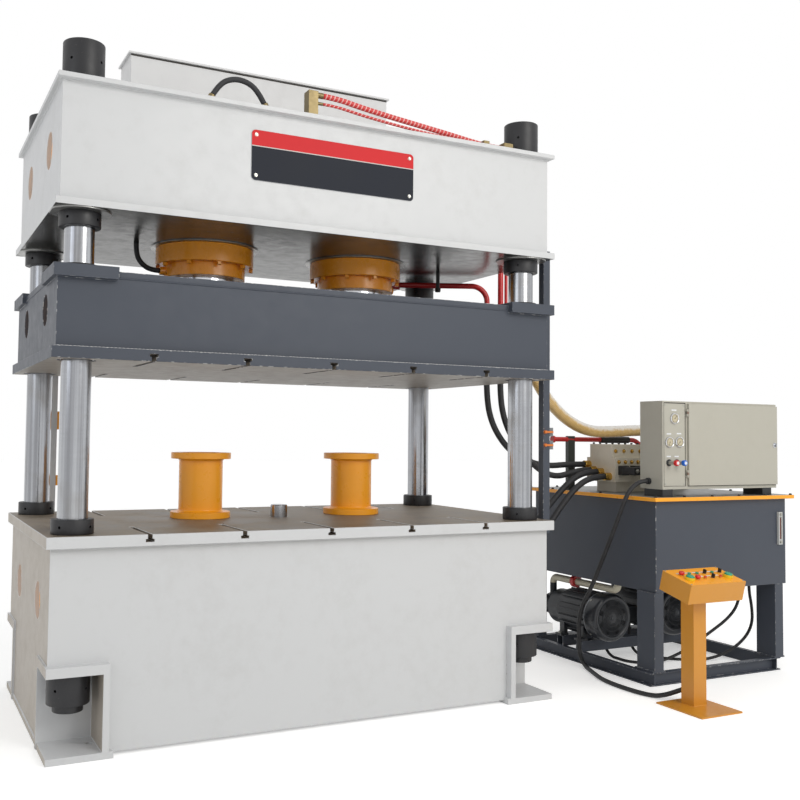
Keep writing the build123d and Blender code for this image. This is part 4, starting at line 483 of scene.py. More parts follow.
def around(x0, x1, y0, y1, z):
    """The corners of a level rectangle, closed."""
    return [(x0, y0, z), (x1, y0, z), (x1, y1, z), (x0, y1, z), (x0, y0, z)]


def round_body(z):
    """The line round the bed's, slide's or crown's box at a height."""
    return around(-BODY_HALF_LENGTH, BODY_HALF_LENGTH, -BODY_HALF_DEPTH, BODY_HALF_DEPTH, z)


weld("bed_welds", "light_grey_paint", light_grey, 0.014, [round_body(TABLE_BOTTOM)])


# The columns and their nuts
# Four ground steel columns tie the bed to the crown. Each has a blackened nut at either end and a
# blackened lock nut on the table and under the crown, with holes for a pin spanner.
def turned(shape, centre, profile, sides=96, axis="Z", material=0, lobes=0, depth=0.0):
    """Add a turned body to a mesh. Its profile is a closed line of (radius, place along the axis)."""
    middle = Vector(centre)
    shift = {"X": 1, "Y": 2, "Z": 0}[axis]
    rings = []
    for radius, height in profile:
        ring = []
        for k in range(sides if radius > 0 else 1):
            angle = 2 * math.pi * k / sides
            reach = radius * (1 - depth + depth * math.cos(lobes * angle))
            spot = (reach * math.cos(angle), reach * math.sin(angle), height)
            ring.append(shape.verts.new(middle + Vector([spot[i - shift] for i in range(3)])))
        rings.append(ring)
    if all(len(ring) > 1 for ring in rings):
        rings.append(rings[0])
    made = []
    for low, high in zip(rings, rings[1:]):
        for k in range(sides if len(low) + len(high) > 2 else 0):
            after = (k + 1) % sides
            near = [low[k], low[after]] if len(low) > 1 else low
            far = [high[after], high[k]] if len(high) > 1 else high
            made.append(shape.faces.new(near + far))
    for face in made:
        face.material_index = material
    bmesh.ops.recalc_face_normals(shape, faces=made)


def bar(radius, low, high):
    """The profile of a solid round bar."""
    return [(0, low), (radius, low), (radius, high), (0, high)]


def ring(outer, inner, low, high):
    """The profile of a ring."""
    return [(inner, low), (outer, low), (outer, high), (inner, high)]


ground_steel, tree, coords = new_material("ground_column")
grind = noise(tree, stretched(tree, coords["Object"], 3.0, 3.0, 420.0), 1.0, 3.0)
streak = noise(tree, stretched(tree, coords["Object"], 26.0, 26.0, 0.15), 1.0, 3.0, Roughness=0.6)
smear = noise(tree, coords["Object"], 5.0, 5.0, Distortion=0.4)
cast = mixed(tree, grind, colour(168, 170, 174), colour(194, 196, 200))
lines = mixed(tree, ranged(tree, streak, 0.36, 0.62, 0.0, 0.75), cast, colour(124, 125, 129))
feed(
    tree,
    Base_Color=mixed(tree, ranged(tree, smear, 0.5, 0.75, 0.0, 0.35), lines, colour(124, 119, 110)),
    Metallic=1.0,
    Roughness=ranged(tree, smear, 0.35, 0.7, 0.15, 0.27),
    Normal=bumped(tree, grind, 0.08, 0.0003),
)
blackened = painted("blackened_steel", (27, 27, 30), 0.45, 0.5, (62, 58, 54), 0.1, (88, 85, 82), 55.0)

COLUMN_RADIUS = 0.090
COLUMN_X = 1.626
COLUMN_Y = 0.754
COLUMN_BOTTOM = 0.253
COLUMN_TOP = 4.266
COLUMNS = [(x, y) for x in (-COLUMN_X, COLUMN_X) for y in (-COLUMN_Y, COLUMN_Y)]
BED_NUT_BOTTOM = 0.298
BED_NUT_TOP = 0.487
CROWN_NUT_HEIGHT = 0.245
LOCK_NUT_HEIGHT = 0.090
CROWN_BOTTOM = 3.225
CROWN_TOP = 4.010
CROWN_PAD = 0.008
NUT_RADIUS = 0.126
NUT_BORE = COLUMN_RADIUS + 0.0001
SPANNER_HOLE = 0.009
SPANNER_DEPTH = 0.022
shape = bmesh.new()
for x, y in COLUMNS:
    profile = bar(COLUMN_RADIUS, COLUMN_BOTTOM, COLUMN_TOP)
    profile.insert(2, (COLUMN_RADIUS, BED_NUT_BOTTOM))
    turned(shape, (x, y, 0), profile)
for face in shape.faces:
    face.material_index = 1 if face.calc_center_median().z < BED_NUT_BOTTOM else 0
columns = finished("ground_columns", shape, [ground_steel, blackened], 0.004)
settle(columns, "ground_steel", "machine", "columns")


def bore(holes, middle, out, radius, depth, sides):
    """Add a round plug to a mesh of holes, along one direction."""
    turn = Vector(out).to_track_quat("Z", "Y").to_matrix().to_4x4()
    size = {"radius1": radius, "radius2": radius, "depth": depth, "segments": sides}
    bmesh.ops.create_cone(holes, cap_ends=True, matrix=Matrix.Translation(middle) @ turn, **size)


def carved(solid, holes):
    """Cut the holes out of a finished piece."""
    mesh = bpy.data.meshes.new("holes")
    holes.to_mesh(mesh)
    holes.free()
    cutter = new_object("holes", mesh)
    cut = solid.modifiers.new("holes", "BOOLEAN")
    cut.operation = "DIFFERENCE"
    cut.solver = "EXACT"
    cut.object = cutter
    solid.data = applied(solid)
    solid.data.set_sharp_from_angle(angle=math.radians(30))
    bpy.data.objects.remove(cutter)
    return solid


def nuts(node, name, heights):
    """Round nuts on all four columns, each with four spanner holes bored into its side."""
    shape = bmesh.new()
    holes = bmesh.new()
    for x, y in COLUMNS:
        for low, high in heights:
            turned(shape, (x, y, 0), ring(NUT_RADIUS, NUT_BORE, low, high))
            for k in range(4):
                angle = math.radians(45 + 90 * k)
                out = Vector((math.cos(angle), math.sin(angle), 0))
                middle = Vector((x, y, (low + high) / 2)) + out * (NUT_RADIUS + 0.004)
                bore(holes, middle, out, SPANNER_HOLE, 2 * SPANNER_DEPTH, 24)
    solid = finished(name, shape, [blackened], 0.005, segments=3)
    settle(carved(solid, holes), "black_steel", "machine", node)


UNDER_CROWN = CROWN_BOTTOM - CROWN_PAD
END_NUTS = ((CROWN_TOP, CROWN_TOP + CROWN_NUT_HEIGHT), (BED_NUT_BOTTOM, BED_NUT_TOP))
LOCK_NUTS = ((BED_TOP, BED_TOP + LOCK_NUT_HEIGHT), (UNDER_CROWN - LOCK_NUT_HEIGHT, UNDER_CROWN))
nuts("column_end_nuts", "column_end_nuts_round", END_NUTS)
nuts("column_lock_nuts", "column_lock_nuts_round", LOCK_NUTS)


# The crown
# The top weldment, painted like the bed and semi-gloss below, between a thick bottom plate and a
# thinner top plate that both stand proud. Its pads under the nuts are machined. Below, the grey is
# much darker, as painted shade.
machined_pad = painted("machined_pad", (150, 150, 148), 0.3, 0.8, (96, 92, 86), Metallic=0.8)
# The crown's lower face is painted a much darker grey than the bed: painted shade under the crown.
crown_underside_shade = painted("crown_underside_painted_shade", (60, 59, 56), 0.2, 0.5, (52, 47, 40), Specular_IOR_Level=0.25)
fitting_steel = painted("fitting_steel", (124, 110, 78), 0.4, 1.0, (60, 56, 48), Metallic=0.8)


def on_pad(middle, normal):
    return UNDER_CROWN - 0.001 < middle.z < CROWN_BOTTOM - 0.0005


# The faces under the crown that take the painted shade.
def below_crown(middle, normal):
    return abs(middle.z - CROWN_BOTTOM) < 0.001 and normal.z < -0.9


def on_fitting(middle, normal):
    return middle.z > CROWN_TOP + 0.0005


dressed(
    "crown",
    "crown_weldment",
    "light_grey_paint",
    light_grey,
    0.0025,
    parts=[(machined_pad, on_pad), (crown_underside_shade, below_crown), (fitting_steel, on_fitting), (yellow, on_cover)],
    worn=light_grey_edge,
    kept=3,
)
crown_seams = [round_body(z) for z in (CROWN_BOTTOM + 0.045, CROWN_TOP - 0.030)]
weld("crown_welds", "light_grey_paint", light_grey, 0.014, crown_seams)

# The sign plate is printed sheet steel, red above and dark blue below, with a screw in each corner.
SIGN_SPLIT = 3.752
SIGN_LINE = 0.003
sign_print, tree, coords = new_material("sign_print")
height = add(tree, "SeparateXYZ", {0: coords["Object"]}).outputs["Z"]
wash = noise(tree, coords["Object"], 2.2, 5.0)
field = mixed(tree, wash, colour(30, 33, 40), colour(44, 47, 56))
band = mixed(tree, wash, colour(200, 42, 48), colour(216, 58, 60))
low = maths(tree, "LESS_THAN", height, SIGN_SPLIT + SIGN_LINE)
high = maths(tree, "GREATER_THAN", height, SIGN_SPLIT - SIGN_LINE)
halves = mixed(tree, maths(tree, "GREATER_THAN", height, SIGN_SPLIT), field, band)
feed(
    tree,
    Base_Color=mixed(tree, maths(tree, "MULTIPLY", low, high), halves, colour(206, 200, 196)),
    Roughness=ranged(tree, wash, 0.3, 0.7, 0.44, 0.54),
    Specular_IOR_Level=0.12,
)
sign_edge = painted("sign_plate_edge", (190, 192, 194), 0.3, 0.6)
sign_front = [(sign_print, lambda middle, normal: normal.y < -0.9)]
dressed("sign_plate", "sign_plate_printed", "sign_face", sign_edge, 0.001, parts=sign_front, worn=sign_edge)

# Screws and bolts are one round or six-sided head on a collar.
STUD_INPUTS = (("Sides", "Int"), *sized("Head Radius", "Head Height", "Collar Radius", "Collar Height"))
STRAIGHT_SHARE = 0.75
CHAMFER_SHARE = 0.82
stud_tree, given, result = new_tree("head_on_collar", STUD_INPUTS)
sides = given["Sides"]
radius = given["Head Radius"]
base = given["Collar Height"]
straight = maths(stud_tree, "MULTIPLY", given["Head Height"], STRAIGHT_SHARE)
narrow = maths(stud_tree, "MULTIPLY", radius, CHAMFER_SHARE)
slope = maths(stud_tree, "MULTIPLY", given["Head Height"], 1 - STRAIGHT_SHARE)
chamfer = {"Vertices": sides, "Radius Top": narrow, "Radius Bottom": radius, "Depth": slope}
collar = {"Vertices": 20, "Radius": given["Collar Radius"], "Depth": base}
head = {"Vertices": sides, "Radius": radius, "Depth": straight}
stack = put(stud_tree, "GeometryNodeJoinGeometry")
for kind, size, height in (
    ("MeshCylinder", collar, maths(stud_tree, "MULTIPLY", base, 0.5)),
    ("MeshCylinder", head, maths(stud_tree, "ADD", base, maths(stud_tree, "MULTIPLY", straight, 0.5))),
    ("MeshCone", chamfer, maths(stud_tree, "ADD", base, straight)),
):
    shift = add(stud_tree, "CombineXYZ", {"Z": height}).outputs[0]
    solid = geo(stud_tree, "Transform", {"Geometry": geo(stud_tree, kind, size), "Translation": shift})
    stud_tree.links.new(solid, stack.inputs[0])


def stood(tree, given, result, shape):
    """The end of a tree that stands one shape on every point, turned to the way that the point faces."""
    facing = geo(tree, "InputNamedAttribute", {"Name": "Facing"}, data_type="FLOAT_VECTOR")
    turn = put(tree, "FunctionNodeAlignRotationToVector", {"Vector": facing}, axis="Z").outputs[0]
    spots = {"Points": given["Geometry"], "Instance": shape, "Rotation": turn}
    ended(tree, given, result, geo(tree, "InstanceOnPoints", spots))


stood(stud_tree, given, result, stack.outputs[0])


def repeated(name, slot, spots, tree, inputs, values):
    """What a tree stands on a list of (place, facing)."""
    start = bpy.data.meshes.new(name)
    start.from_pydata([place for place, facing in spots], [], [])
    layer = start.attributes.new("Facing", "FLOAT_VECTOR", "POINT")
    for item, (place, facing) in zip(layer.data, spots):
        item.vector = facing
    made = grown(name, start, tree, dict(zip([label for label, kind in inputs], values)))
    made.data.set_sharp_from_angle(angle=math.radians(30))
    settle(made, slot, "machine")


def studs(name, spots, sides, head, collar, material, slot="machined_steel"):
    """Heads on collars at a list of (place, facing); head and collar are each (radius, height)."""
    repeated(name, slot, spots, stud_tree, STUD_INPUTS, (sides, *head, *collar, material))


FRONT = (0, -1, 0)
UP = (0, 0, 1)
DOWN = (0, 0, -1)
zinc = painted("zinc_plated", (176, 176, 170), 0.32, 0.6, (104, 98, 86), Metallic=0.8)
SIGN_FACE = -0.895
SIGN_SCREWS = [((x, SIGN_FACE, z), FRONT) for x in (-0.553, 0.579) for z in (3.560, 3.825)]
studs("sign_plate_screws", SIGN_SCREWS, 16, (0.009, 0.004), (0.012, 0.0015), zinc)
STOP_BOLT = [((1.360, 0.0, CROWN_BOTTOM), DOWN)]
studs("crown_stop_bolt", STOP_BOLT, 6, (0.026, 0.030), (0.015, 0.125), blackened, "black_steel")


# The main cylinders
# Two cylinders hang in the crown by their heads, each held up by a ring nut whose square lugs take a
# spanner. Nose and nut are painted yellow, the head and its prefill valve are left dark.
OCHRE = (255, 166, 44)
OCHRE_GRIME = (164, 90, 26)
ochre = painted("ochre_paint", OCHRE, 0.26, 0.5, OCHRE_GRIME)
ochre_edge = painted("ochre_edge", OCHRE, 0.26, 0.6, OCHRE_GRIME, 0.1, (140, 102, 62))
NOSE_TOP = 3.222
dressed(
    "main_cylinders",
    "main_cylinder_pair",
    "cylinder_steel",
    ochre,
    0.003,
    parts=[(blackened, lambda middle, normal: middle.z >= NOSE_TOP)],
    worn=ochre_edge,
    kept=1,
    cuts=[((0, 0, NOSE_TOP), UP)],
)
dressed("cylinder_ring_nuts", "ring_nut_pair", "yellow_paint", ochre, 0.002, worn=ochre_edge)


# The slide
# The moving weldment, painted dark grey, with a slotted plate below and a pad for each guide bush.
# Its paint is chipped to near white along the plate's edge: worn paint and a painted highlight. Two
# chromed rams push it.
DARK_GREY = (67, 72, 82)
DARK_GRIME = (90, 94, 100)
dark_grey = painted("dark_grey_paint", DARK_GREY, 0.46, 0.6, DARK_GRIME, Specular_IOR_Level=0.35)
# The edges' chips are pale: worn paint, and painted highlights where light catches the edges.
dark_grey_edge_wear_and_highlight = painted("dark_grey_edge_wear_and_highlight", DARK_GREY, 0.46, 0.6, DARK_GRIME, 0.24, (176, 177, 176))
slide_face = painted("slide_working_face", (128, 120, 109), 0.45, 0.9, (78, 68, 56))
SLIDE_BOTTOM = 2.326
SLIDE_SLOT_DEPTH = 0.050
PLATE_SEAM = SLIDE_BOTTOM + 0.070
COVER_SEAM = SLIDE_BOTTOM + 0.494


def under_slide(middle, normal):
    return middle.z < SLIDE_BOTTOM + SLIDE_SLOT_DEPTH and (normal.z < -0.9 or inside_rim(middle))


dressed(
    "slide",
    "slide_weldment",
    "dark_grey_paint",
    dark_grey,
    0.003,
    "press_slide",
    parts=[(slide_face, under_slide), (yellow, on_cover)],
    worn=dark_grey_edge_wear_and_highlight,
)
# The weld at the plate's top edge is chipped to near white: worn paint and a painted highlight along it.
seam_wear_and_highlight = painted("dark_grey_seam_wear_and_highlight", DARK_GREY, 0.46, 0.6, DARK_GRIME, 0.42, (222, 222, 220), 20.0)
weld("slide_plate_weld", "dark_grey_paint", seam_wear_and_highlight, 0.014, [round_body(PLATE_SEAM)], "press_slide")
weld("slide_cover_weld", "dark_grey_paint", dark_grey, 0.012, [round_body(COVER_SEAM)], "press_slide")

chrome = painted("ram_chrome", (208, 210, 214), 0.1, 0.3, Metallic=1.0)
seal_rubber = painted("seal_rubber", (26, 26, 28), 0.6, 0.5, (70, 68, 64))
dressed("rams", "ram_pair", "ram_chrome", chrome, 0.002, "press_slide")
dressed("guide_bushes", "guide_bush_set", "ground_steel", ground_steel, 0.001, "press_slide")
dressed("wiper_rings", "wiper_ring_set", "wiper_rubber", seal_rubber, 0.001, "press_slide")


# What stands on the table
# Two stop blocks of heavy tube between welded flanges, painted yellow, and the bright ejector pin with
# its dark cylinder under the table.
dressed("stop_blocks", "stop_block_pair", "yellow_paint", yellow, 0.003, worn=yellow_edge)
dressed("ejector_rod", "ejector_pin_rod", "ground_steel", ground_steel, 0.001, "ejector_pin")
dressed("ejector_cylinder", "ejector_cylinder_steel", "machined_steel", blackened, 0.002)


# The prefill tank
# A sheet-steel tank on the back of the crown under a loose folded cover, painted light grey. The shadow
# in the gap under the cover's lip is painted as a dark strip.
tank_grey = painted("prefill_tank_paint", (220, 220, 220), 0.4, 0.4, (150, 142, 130))
dressed("prefill_tank", "prefill_tank_sheet", "light_grey_paint", tank_grey, 0.002, worn=light_grey_edge)
dressed("prefill_tank_cover", "prefill_cover_sheet", "light_grey_paint", tank_grey, 0.002)
gap_shadow = painted("gap_shadow", (52, 48, 44), 0.6, 0.5)
COVER_HALF_LENGTH = 1.083
TANK_FRONT = 0.400
COVER_LIP = 4.730
GAP_HEIGHT = 0.013


def slab(shape, low, high, place=Matrix.Identity(4), material=0):
    """Add a closed box to a mesh, between two corners, and give its faces a finish."""
    made = bmesh.ops.create_cube(shape, size=1.0)["verts"]
    for vert in made:
        spot = [low[i] if vert.co[i] < 0 else high[i] for i in range(3)]
        vert.co = place @ Vector(spot)
    for face in {face for vert in made for face in vert.link_faces}:
        face.material_index = material


# A dark strip of painted shadow in the gap under the cover's lip.
shape = bmesh.new()
low = (-COVER_HALF_LENGTH, TANK_FRONT - 0.0006, COVER_LIP - GAP_HEIGHT)
slab(shape, low, (COVER_HALF_LENGTH, TANK_FRONT + 0.001, COVER_LIP))
settle(finished("prefill_cover_gap_shadow", shape, [gap_shadow]), "light_grey_paint", "machine")


# The rails beside the columns
# A square tube carries the limit switches in front of the right-hand columns; a plain bar behind the
# left-hand ones carries two yellow boxes.
switch_shell = painted("switch_shell", (120, 124, 128), 0.45, 0.5)
roller_orange = painted("roller_orange", (214, 116, 40), 0.4, 0.5)
SHELL_FRONT = -0.777
SHELL_LEFT = 1.888


def on_roller(middle, normal):
    return middle.y < SHELL_FRONT or middle.x < SHELL_LEFT


rollers = [(roller_orange, on_roller)]
dressed(
    "limit_switch_rail", "limit_switch_rail_tube", "dark_grey_paint", dark_grey, 0.002, worn=dark_grey_edge_wear_and_highlight
)
dressed("limit_switches", "limit_switch_pair", "switch_body", switch_shell, 0.001, parts=rollers)
dressed("rear_rail", "rear_rail_bar", "light_grey_paint", light_grey, 0.002)
dressed("rear_rail_boxes", "rear_rail_box_pair", "yellow_paint", yellow, 0.002)


# The power unit
# A base frame of channels with four legs that carry the oil tank, and two foot-mounted motors with
# their pumps under the tank, all painted dark grey.
for node, name, width in (
    ("power_unit_frame", "power_unit_frame_steel", 0.002),
    ("oil_tank", "oil_tank_sheet", 0.003),
):
    dressed(node, name, "dark_grey_paint", dark_grey, width, worn=dark_grey_edge_wear_and_highlight)
LID_TOP = 1.445
LID_ENDS = (2.720, 4.213)
LID_SIDES = (-1.004, 0.566)


def lid_rim(middle, normal):
    return abs(normal.z) < 0.9 or normal.z < 0


lid_top = painted("lid_top", (118, 118, 114), 0.4, 1.0, (62, 58, 52))
rim = [(yellow, lid_rim)]
dressed("oil_tank_lid", "oil_tank_lid_plate", "yellow_paint", lid_top, 0.003, parts=rim, worn=yellow_edge)
LID_BOLTS = [((LID_ENDS[0] + 0.298 * i, y, LID_TOP), UP) for i in range(6) for y in LID_SIDES]
LID_BOLTS += [((x, LID_SIDES[0] + 0.314 * i, LID_TOP), UP) for i in range(1, 5) for x in LID_ENDS]
studs("tank_lid_bolts", LID_BOLTS, 6, (0.011, 0.010), (0.014, 0.0025), blackened, "black_steel")

MOTORS = ((2.870, "left"), (3.580, "right"))
MOTOR_AXIS = 0.400
MOTOR_FACE = -0.350
COWL_RADIUS = 0.198
SCREW_BACK = 0.105
motor_paint = painted("motor_paint", (33, 36, 41), 0.42, 0.6, (62, 62, 62))
cowl_paint = painted("cowl_paint", (42, 45, 50), 0.3, 0.5, (70, 70, 70))
worn_rim = painted("cowl_worn_rim", (120, 124, 130), 0.3, 0.6, (60, 62, 66))
fan_plastic = painted("fan_plastic", (22, 22, 24), 0.4, 0.5)
COWL_PROFILE = (
    (0.1962, 0.132), (0.1985, 0.13), (0.1985, 0.03), (0.1972, 0.016), (0.193, 0.004), (0.186, -0.005),
    (0.176, -0.01), (0.164, -0.01), (0.156, -0.006), (0.15, -0.001), (0.17, -0.001), (0.188, 0.008),
    (0.1962, 0.024),
)

# The cowl's guard is a round of pressed ribs between two wires.
RIB_INPUTS = (("Count", "Int"), *sized("Inner", "Outer", "Width", "Depth"))
rib_tree, given, result = new_tree("round_of_ribs", RIB_INPUTS)
middle = maths(rib_tree, "MULTIPLY", maths(rib_tree, "ADD", given["Inner"], given["Outer"]), 0.5)
spread = geo(rib_tree, "MeshCircle", {"Vertices": given["Count"], "Radius": middle})
reach = maths(rib_tree, "SUBTRACT", given["Outer"], given["Inner"])
size = add(rib_tree, "CombineXYZ", {"X": reach, "Y": given["Width"], "Z": given["Depth"]}).outputs[0]
share = maths(rib_tree, "DIVIDE", geo(rib_tree, "InputIndex"), given["Count"])
angle = add(rib_tree, "CombineXYZ", {"Z": maths(rib_tree, "MULTIPLY", share, 2 * math.pi)}).outputs[0]
turn = put(rib_tree, "FunctionNodeEulerToRotation", {"Euler": angle}).outputs[0]
rib = geo(rib_tree, "MeshCube", {"Size": size})
ribs = geo(rib_tree, "InstanceOnPoints", {"Points": spread, "Instance": rib, "Rotation": turn})
guard = put(rib_tree, "GeometryNodeJoinGeometry", {0: ribs})
thick = maths(rib_tree, "MULTIPLY", given["Depth"], 0.6)
for label in ("Inner", "Outer"):
    hoop = geo(rib_tree, "CurvePrimitiveCircle", {"Resolution": 60, "Radius": given[label]})
    wire = geo(rib_tree, "CurvePrimitiveCircle", {"Resolution": 8, "Radius": thick})
    rib_tree.links.new(geo(rib_tree, "CurveToMesh", {"Curve": hoop, "Profile Curve": wire}), guard.inputs[0])
stood(rib_tree, given, result, guard.outputs[0])


def ribs_round(name, slot, spots, *values):
    """Rounds of ribs at a list of (place, facing); the values are those that the tree takes."""
    repeated(name, slot, spots, rib_tree, RIB_INPUTS, values)


def outward(count, first):
    """The ways out from the middle of an even round, each as its cosine and sine."""
    turns = [math.radians(first + 360 / count * i) for i in range(count)]
    return [(math.cos(turn), math.sin(turn)) for turn in turns]


for x, side in MOTORS:
    dressed(f"motor_{side}", f"motor_{side}_casting", "motor_paint", motor_paint, 0.0015)
    rotor = f"motor_rotor_{side}"
    dressed(rotor, f"{rotor}_fan", "rotor_steel", fan_plastic, 0.001, f"rotor_{side}")
    shape = bmesh.new()
    turned(shape, (x, MOTOR_FACE, MOTOR_AXIS), COWL_PROFILE, axis="Y")
    turned(shape, (x, MOTOR_FACE, MOTOR_AXIS), ring(0.1992, 0.1980, 0.121, 0.131), axis="Y", material=1)
    settle(finished(f"motor_{side}_cowl", shape, [cowl_paint, worn_rim]), "motor_paint", "machine")
    hub = [((x, MOTOR_FACE - 0.003, MOTOR_AXIS), FRONT)]
    ribs_round(f"motor_{side}_guard", "motor_paint", hub, 72, 0.032, 0.146, 0.0022, 0.004, cowl_paint)
    ribs_round(f"motor_{side}_guard_hoops", "motor_paint", hub, 8, 0.070, 0.108, 0.004, 0.004, cowl_paint)
    studs(f"motor_{side}_hub", hub, 24, (0.022, 0.006), (0.034, 0.004), cowl_paint, "motor_paint")
    screws = [
        ((x + COWL_RADIUS * across, MOTOR_FACE + SCREW_BACK, MOTOR_AXIS + COWL_RADIUS * up), (across, 0, up))
        for across, up in outward(4, 45)
    ]
    studs(f"motor_{side}_cowl_screws", screws, 16, (0.006, 0.004), (0.009, 0.001), zinc)
FOOT_TOP = 0.210
FOOT_SIDES = (-0.182, 0.182)
FOOT_ROWS = (-0.140, 0.110)
FOOT_BOLTS = [((x + side, y, FOOT_TOP), UP) for x, name in MOTORS for side in FOOT_SIDES for y in FOOT_ROWS]
studs("motor_foot_bolts", FOOT_BOLTS, 6, (0.013, 0.012), (0.018, 0.003), zinc)

pump_iron = painted("pump_iron", (214, 208, 186), 0.36, 0.9, (136, 128, 108))
red_paint = painted("red_paint", (198, 40, 42), 0.3, 0.6, (120, 30, 28))
PUMP_TOP = 0.580
LINE_FRONT = 0.055
LINE_BACK = 0.110


def on_line(middle, normal):
    return LINE_FRONT < middle.y < LINE_BACK and middle.z > PUMP_TOP


def above_pump(middle, normal):
    return middle.z > PUMP_TOP


lines = [(red_paint, on_line), (pump_iron, above_pump)]
dressed("pumps", "pump_pair", "pump_iron", motor_paint, 0.002, parts=lines)
gauge_frame = painted("gauge_frame", (190, 192, 190), 0.35, 0.6)
glass_tube = painted("glass_tube", (104, 52, 44), 0.12, 0.4)
LEVEL_X = 4.105
LEVEL_FACE = -0.994
GLASS_FRONT = -0.990
GLASS_BACK = -0.985


def on_glass(middle, normal):
    return GLASS_FRONT < middle.y < GLASS_BACK and normal.y < -0.9


glass = [(glass_tube, on_glass)]
dressed("sight_glass", "sight_glass_gauge", "sight_glass", gauge_frame, 0.001, parts=glass)
LEVEL_BOLTS = [((LEVEL_X, LEVEL_FACE, z), FRONT) for z in (1.055, 1.281)]
studs("sight_glass_bolts", LEVEL_BOLTS, 6, (0.011, 0.010), (0.014, 0.002), zinc)


# The valves and pipes
# The drilled valve block with its spool valves on the lid, the return filter, and red steel pipes.
block_steel = painted("block_steel", (224, 216, 198), 0.36, 0.9, (124, 112, 94))
brass = painted("brass", (206, 166, 84), 0.24, 0.6, (120, 92, 44), Metallic=0.9)
BLOCK_LEFT = 2.921
MANIFOLD_FACE = -0.330
STEP_BACK = 0.040
VALVE_REACH = 0.190
ports = [(brass, lambda middle, normal: middle.x < BLOCK_LEFT - 0.0005)]
dressed("valve_manifold", "valve_block", "machined_steel", block_steel, 0.002, parts=ports)
PLUGS = [((2.960 + 0.070 * i, MANIFOLD_FACE, 1.700), FRONT) for i in range(7)]
PLUGS += [((2.960 + 0.090 * i, MANIFOLD_FACE + STEP_BACK, 1.792), FRONT) for i in range(4)]
studs("valve_block_plugs", PLUGS, 6, (0.011, 0.008), (0.017, 0.004), brass)
SOCKET_SCREWS = [((2.945 + 0.070 * i, y, 1.850), UP) for i in range(5) for y in (-0.268, -0.032)]
studs("valve_block_screws", SOCKET_SCREWS, 20, (0.010, 0.012), (0.006, 0.002), blackened, "black_steel")
coil_plastic = painted("coil_plastic", (30, 31, 34), 0.42, 0.5)
dressed("solenoid_valves", "solenoid_valve_set", "solenoid", coil_plastic, 0.002)
VALVE_ENDS = [((BLOCK_LEFT + 0.130 * (i + 0.5), MANIFOLD_FACE - VALVE_REACH, 1.630), FRONT) for i in range(4)]
studs("solenoid_end_nuts", VALVE_ENDS, 6, (0.014, 0.010), (0.018, 0.003), zinc)
filter_paint = painted("filter_paint", (172, 174, 172), 0.4, 0.6)
dressed("return_filter", "return_filter_can", "machined_steel", filter_paint, 0.002)
FILTER_X = 3.900
FILTER_ROUNDS = ((0.104, LID_TOP + 0.635), (0.115, LID_TOP + 0.020))
FILTER_BOLTS = [
    ((FILTER_X + radius * across, radius * back, z), UP)
    for radius, z in FILTER_ROUNDS
    for across, back in outward(6, 30)
]
studs("return_filter_bolts", FILTER_BOLTS, 6, (0.008, 0.008), (0.0105, 0.002), zinc)

HEADER_Y = 0.100
HEADER_Z = 1.888
HEADER_RADIUS = 0.0215
SLEEVE_LEFT = 3.126
SLEEVE_RIGHT = 3.454
SLEEVE_BOTTOM = 1.850
PIPE_POST = ((2.756, 0.079), (2.830, 0.121))
PIPE_POST_TOP = 1.918


def on_sleeve(middle, normal):
    away = math.hypot(middle.y - HEADER_Y, middle.z - HEADER_Z)
    return SLEEVE_LEFT < middle.x < SLEEVE_RIGHT and away > HEADER_RADIUS and middle.z > SLEEVE_BOTTOM


def on_post(middle, normal):
    (left, front), (right, back) = PIPE_POST
    return left < middle.x < right and front < middle.y < back and middle.z < PIPE_POST_TOP


sleeve_black = painted("sleeve_black", (26, 26, 28), 0.5, 0.6)
post_green = painted("post_green", (52, 58, 56), 0.42, 0.7, (92, 94, 88))
coats = [(sleeve_black, on_sleeve), (post_green, on_post)]
dressed("red_pipes", "red_pipe_set", "red_paint", red_paint, 0.001, parts=coats)


# The cabinet
# A beige sheet-steel cabinet on two blocks, with a gauge panel at the left and one wide door.
BEIGE = (180, 177, 165)
BEIGE_GRIME = (126, 120, 104)
beige = painted("cabinet_paint", BEIGE, 0.42, 0.3, BEIGE_GRIME)
beige_edge = painted("cabinet_edge", BEIGE, 0.42, 0.3, BEIGE_GRIME, 0.04, (118, 114, 104))
CABINET_FACE = -0.950
CABINET_BOTTOM = 1.503
CABINET_LEFT = 2.8445
VALVES = ((2.908, "red"), (2.990, "blue"))
VALVE_Z = 1.713


def near_valve(middle, reach, proud):
    """Whether a face stands proud of the cabinet's front, close to a needle valve."""
    close = any(math.hypot(middle.x - x, middle.z - VALVE_Z) < reach for x, name in VALVES)
    return close and middle.y < CABINET_FACE - proud


dressed(
    "cabinet",
    "cabinet_shell",
    "cabinet_paint",
    beige,
    0.002,
    parts=[
        (coil_plastic, lambda middle, normal: middle.z < CABINET_BOTTOM or middle.x < CABINET_LEFT),
        (zinc, lambda middle, normal: near_valve(middle, 0.0108, 0.0085)),
        (coil_plastic, lambda middle, normal: near_valve(middle, 0.0198, 0.0005)),
    ],
    worn=beige_edge,
    kept=3,
    cuts=[((0, 0, CABINET_BOTTOM), UP)],
    sheet=True,
)
HINGE_X = 3.098
HINGE_HEIGHTS = (1.625, 2.110)
HINGE_RADIUS = 0.0076
HINGE_HALF_HEIGHT = 0.031
hinge_steel = painted("hinge_steel", (132, 112, 98), 0.4, 1.0, (70, 56, 50))


def on_hinge(middle, normal):
    """Whether a face is on the knuckles, which stand left of the door."""
    level = min(abs(middle.z - height) for height in HINGE_HEIGHTS) < HINGE_HALF_HEIGHT
    return level and abs(middle.x - HINGE_X) < HINGE_RADIUS


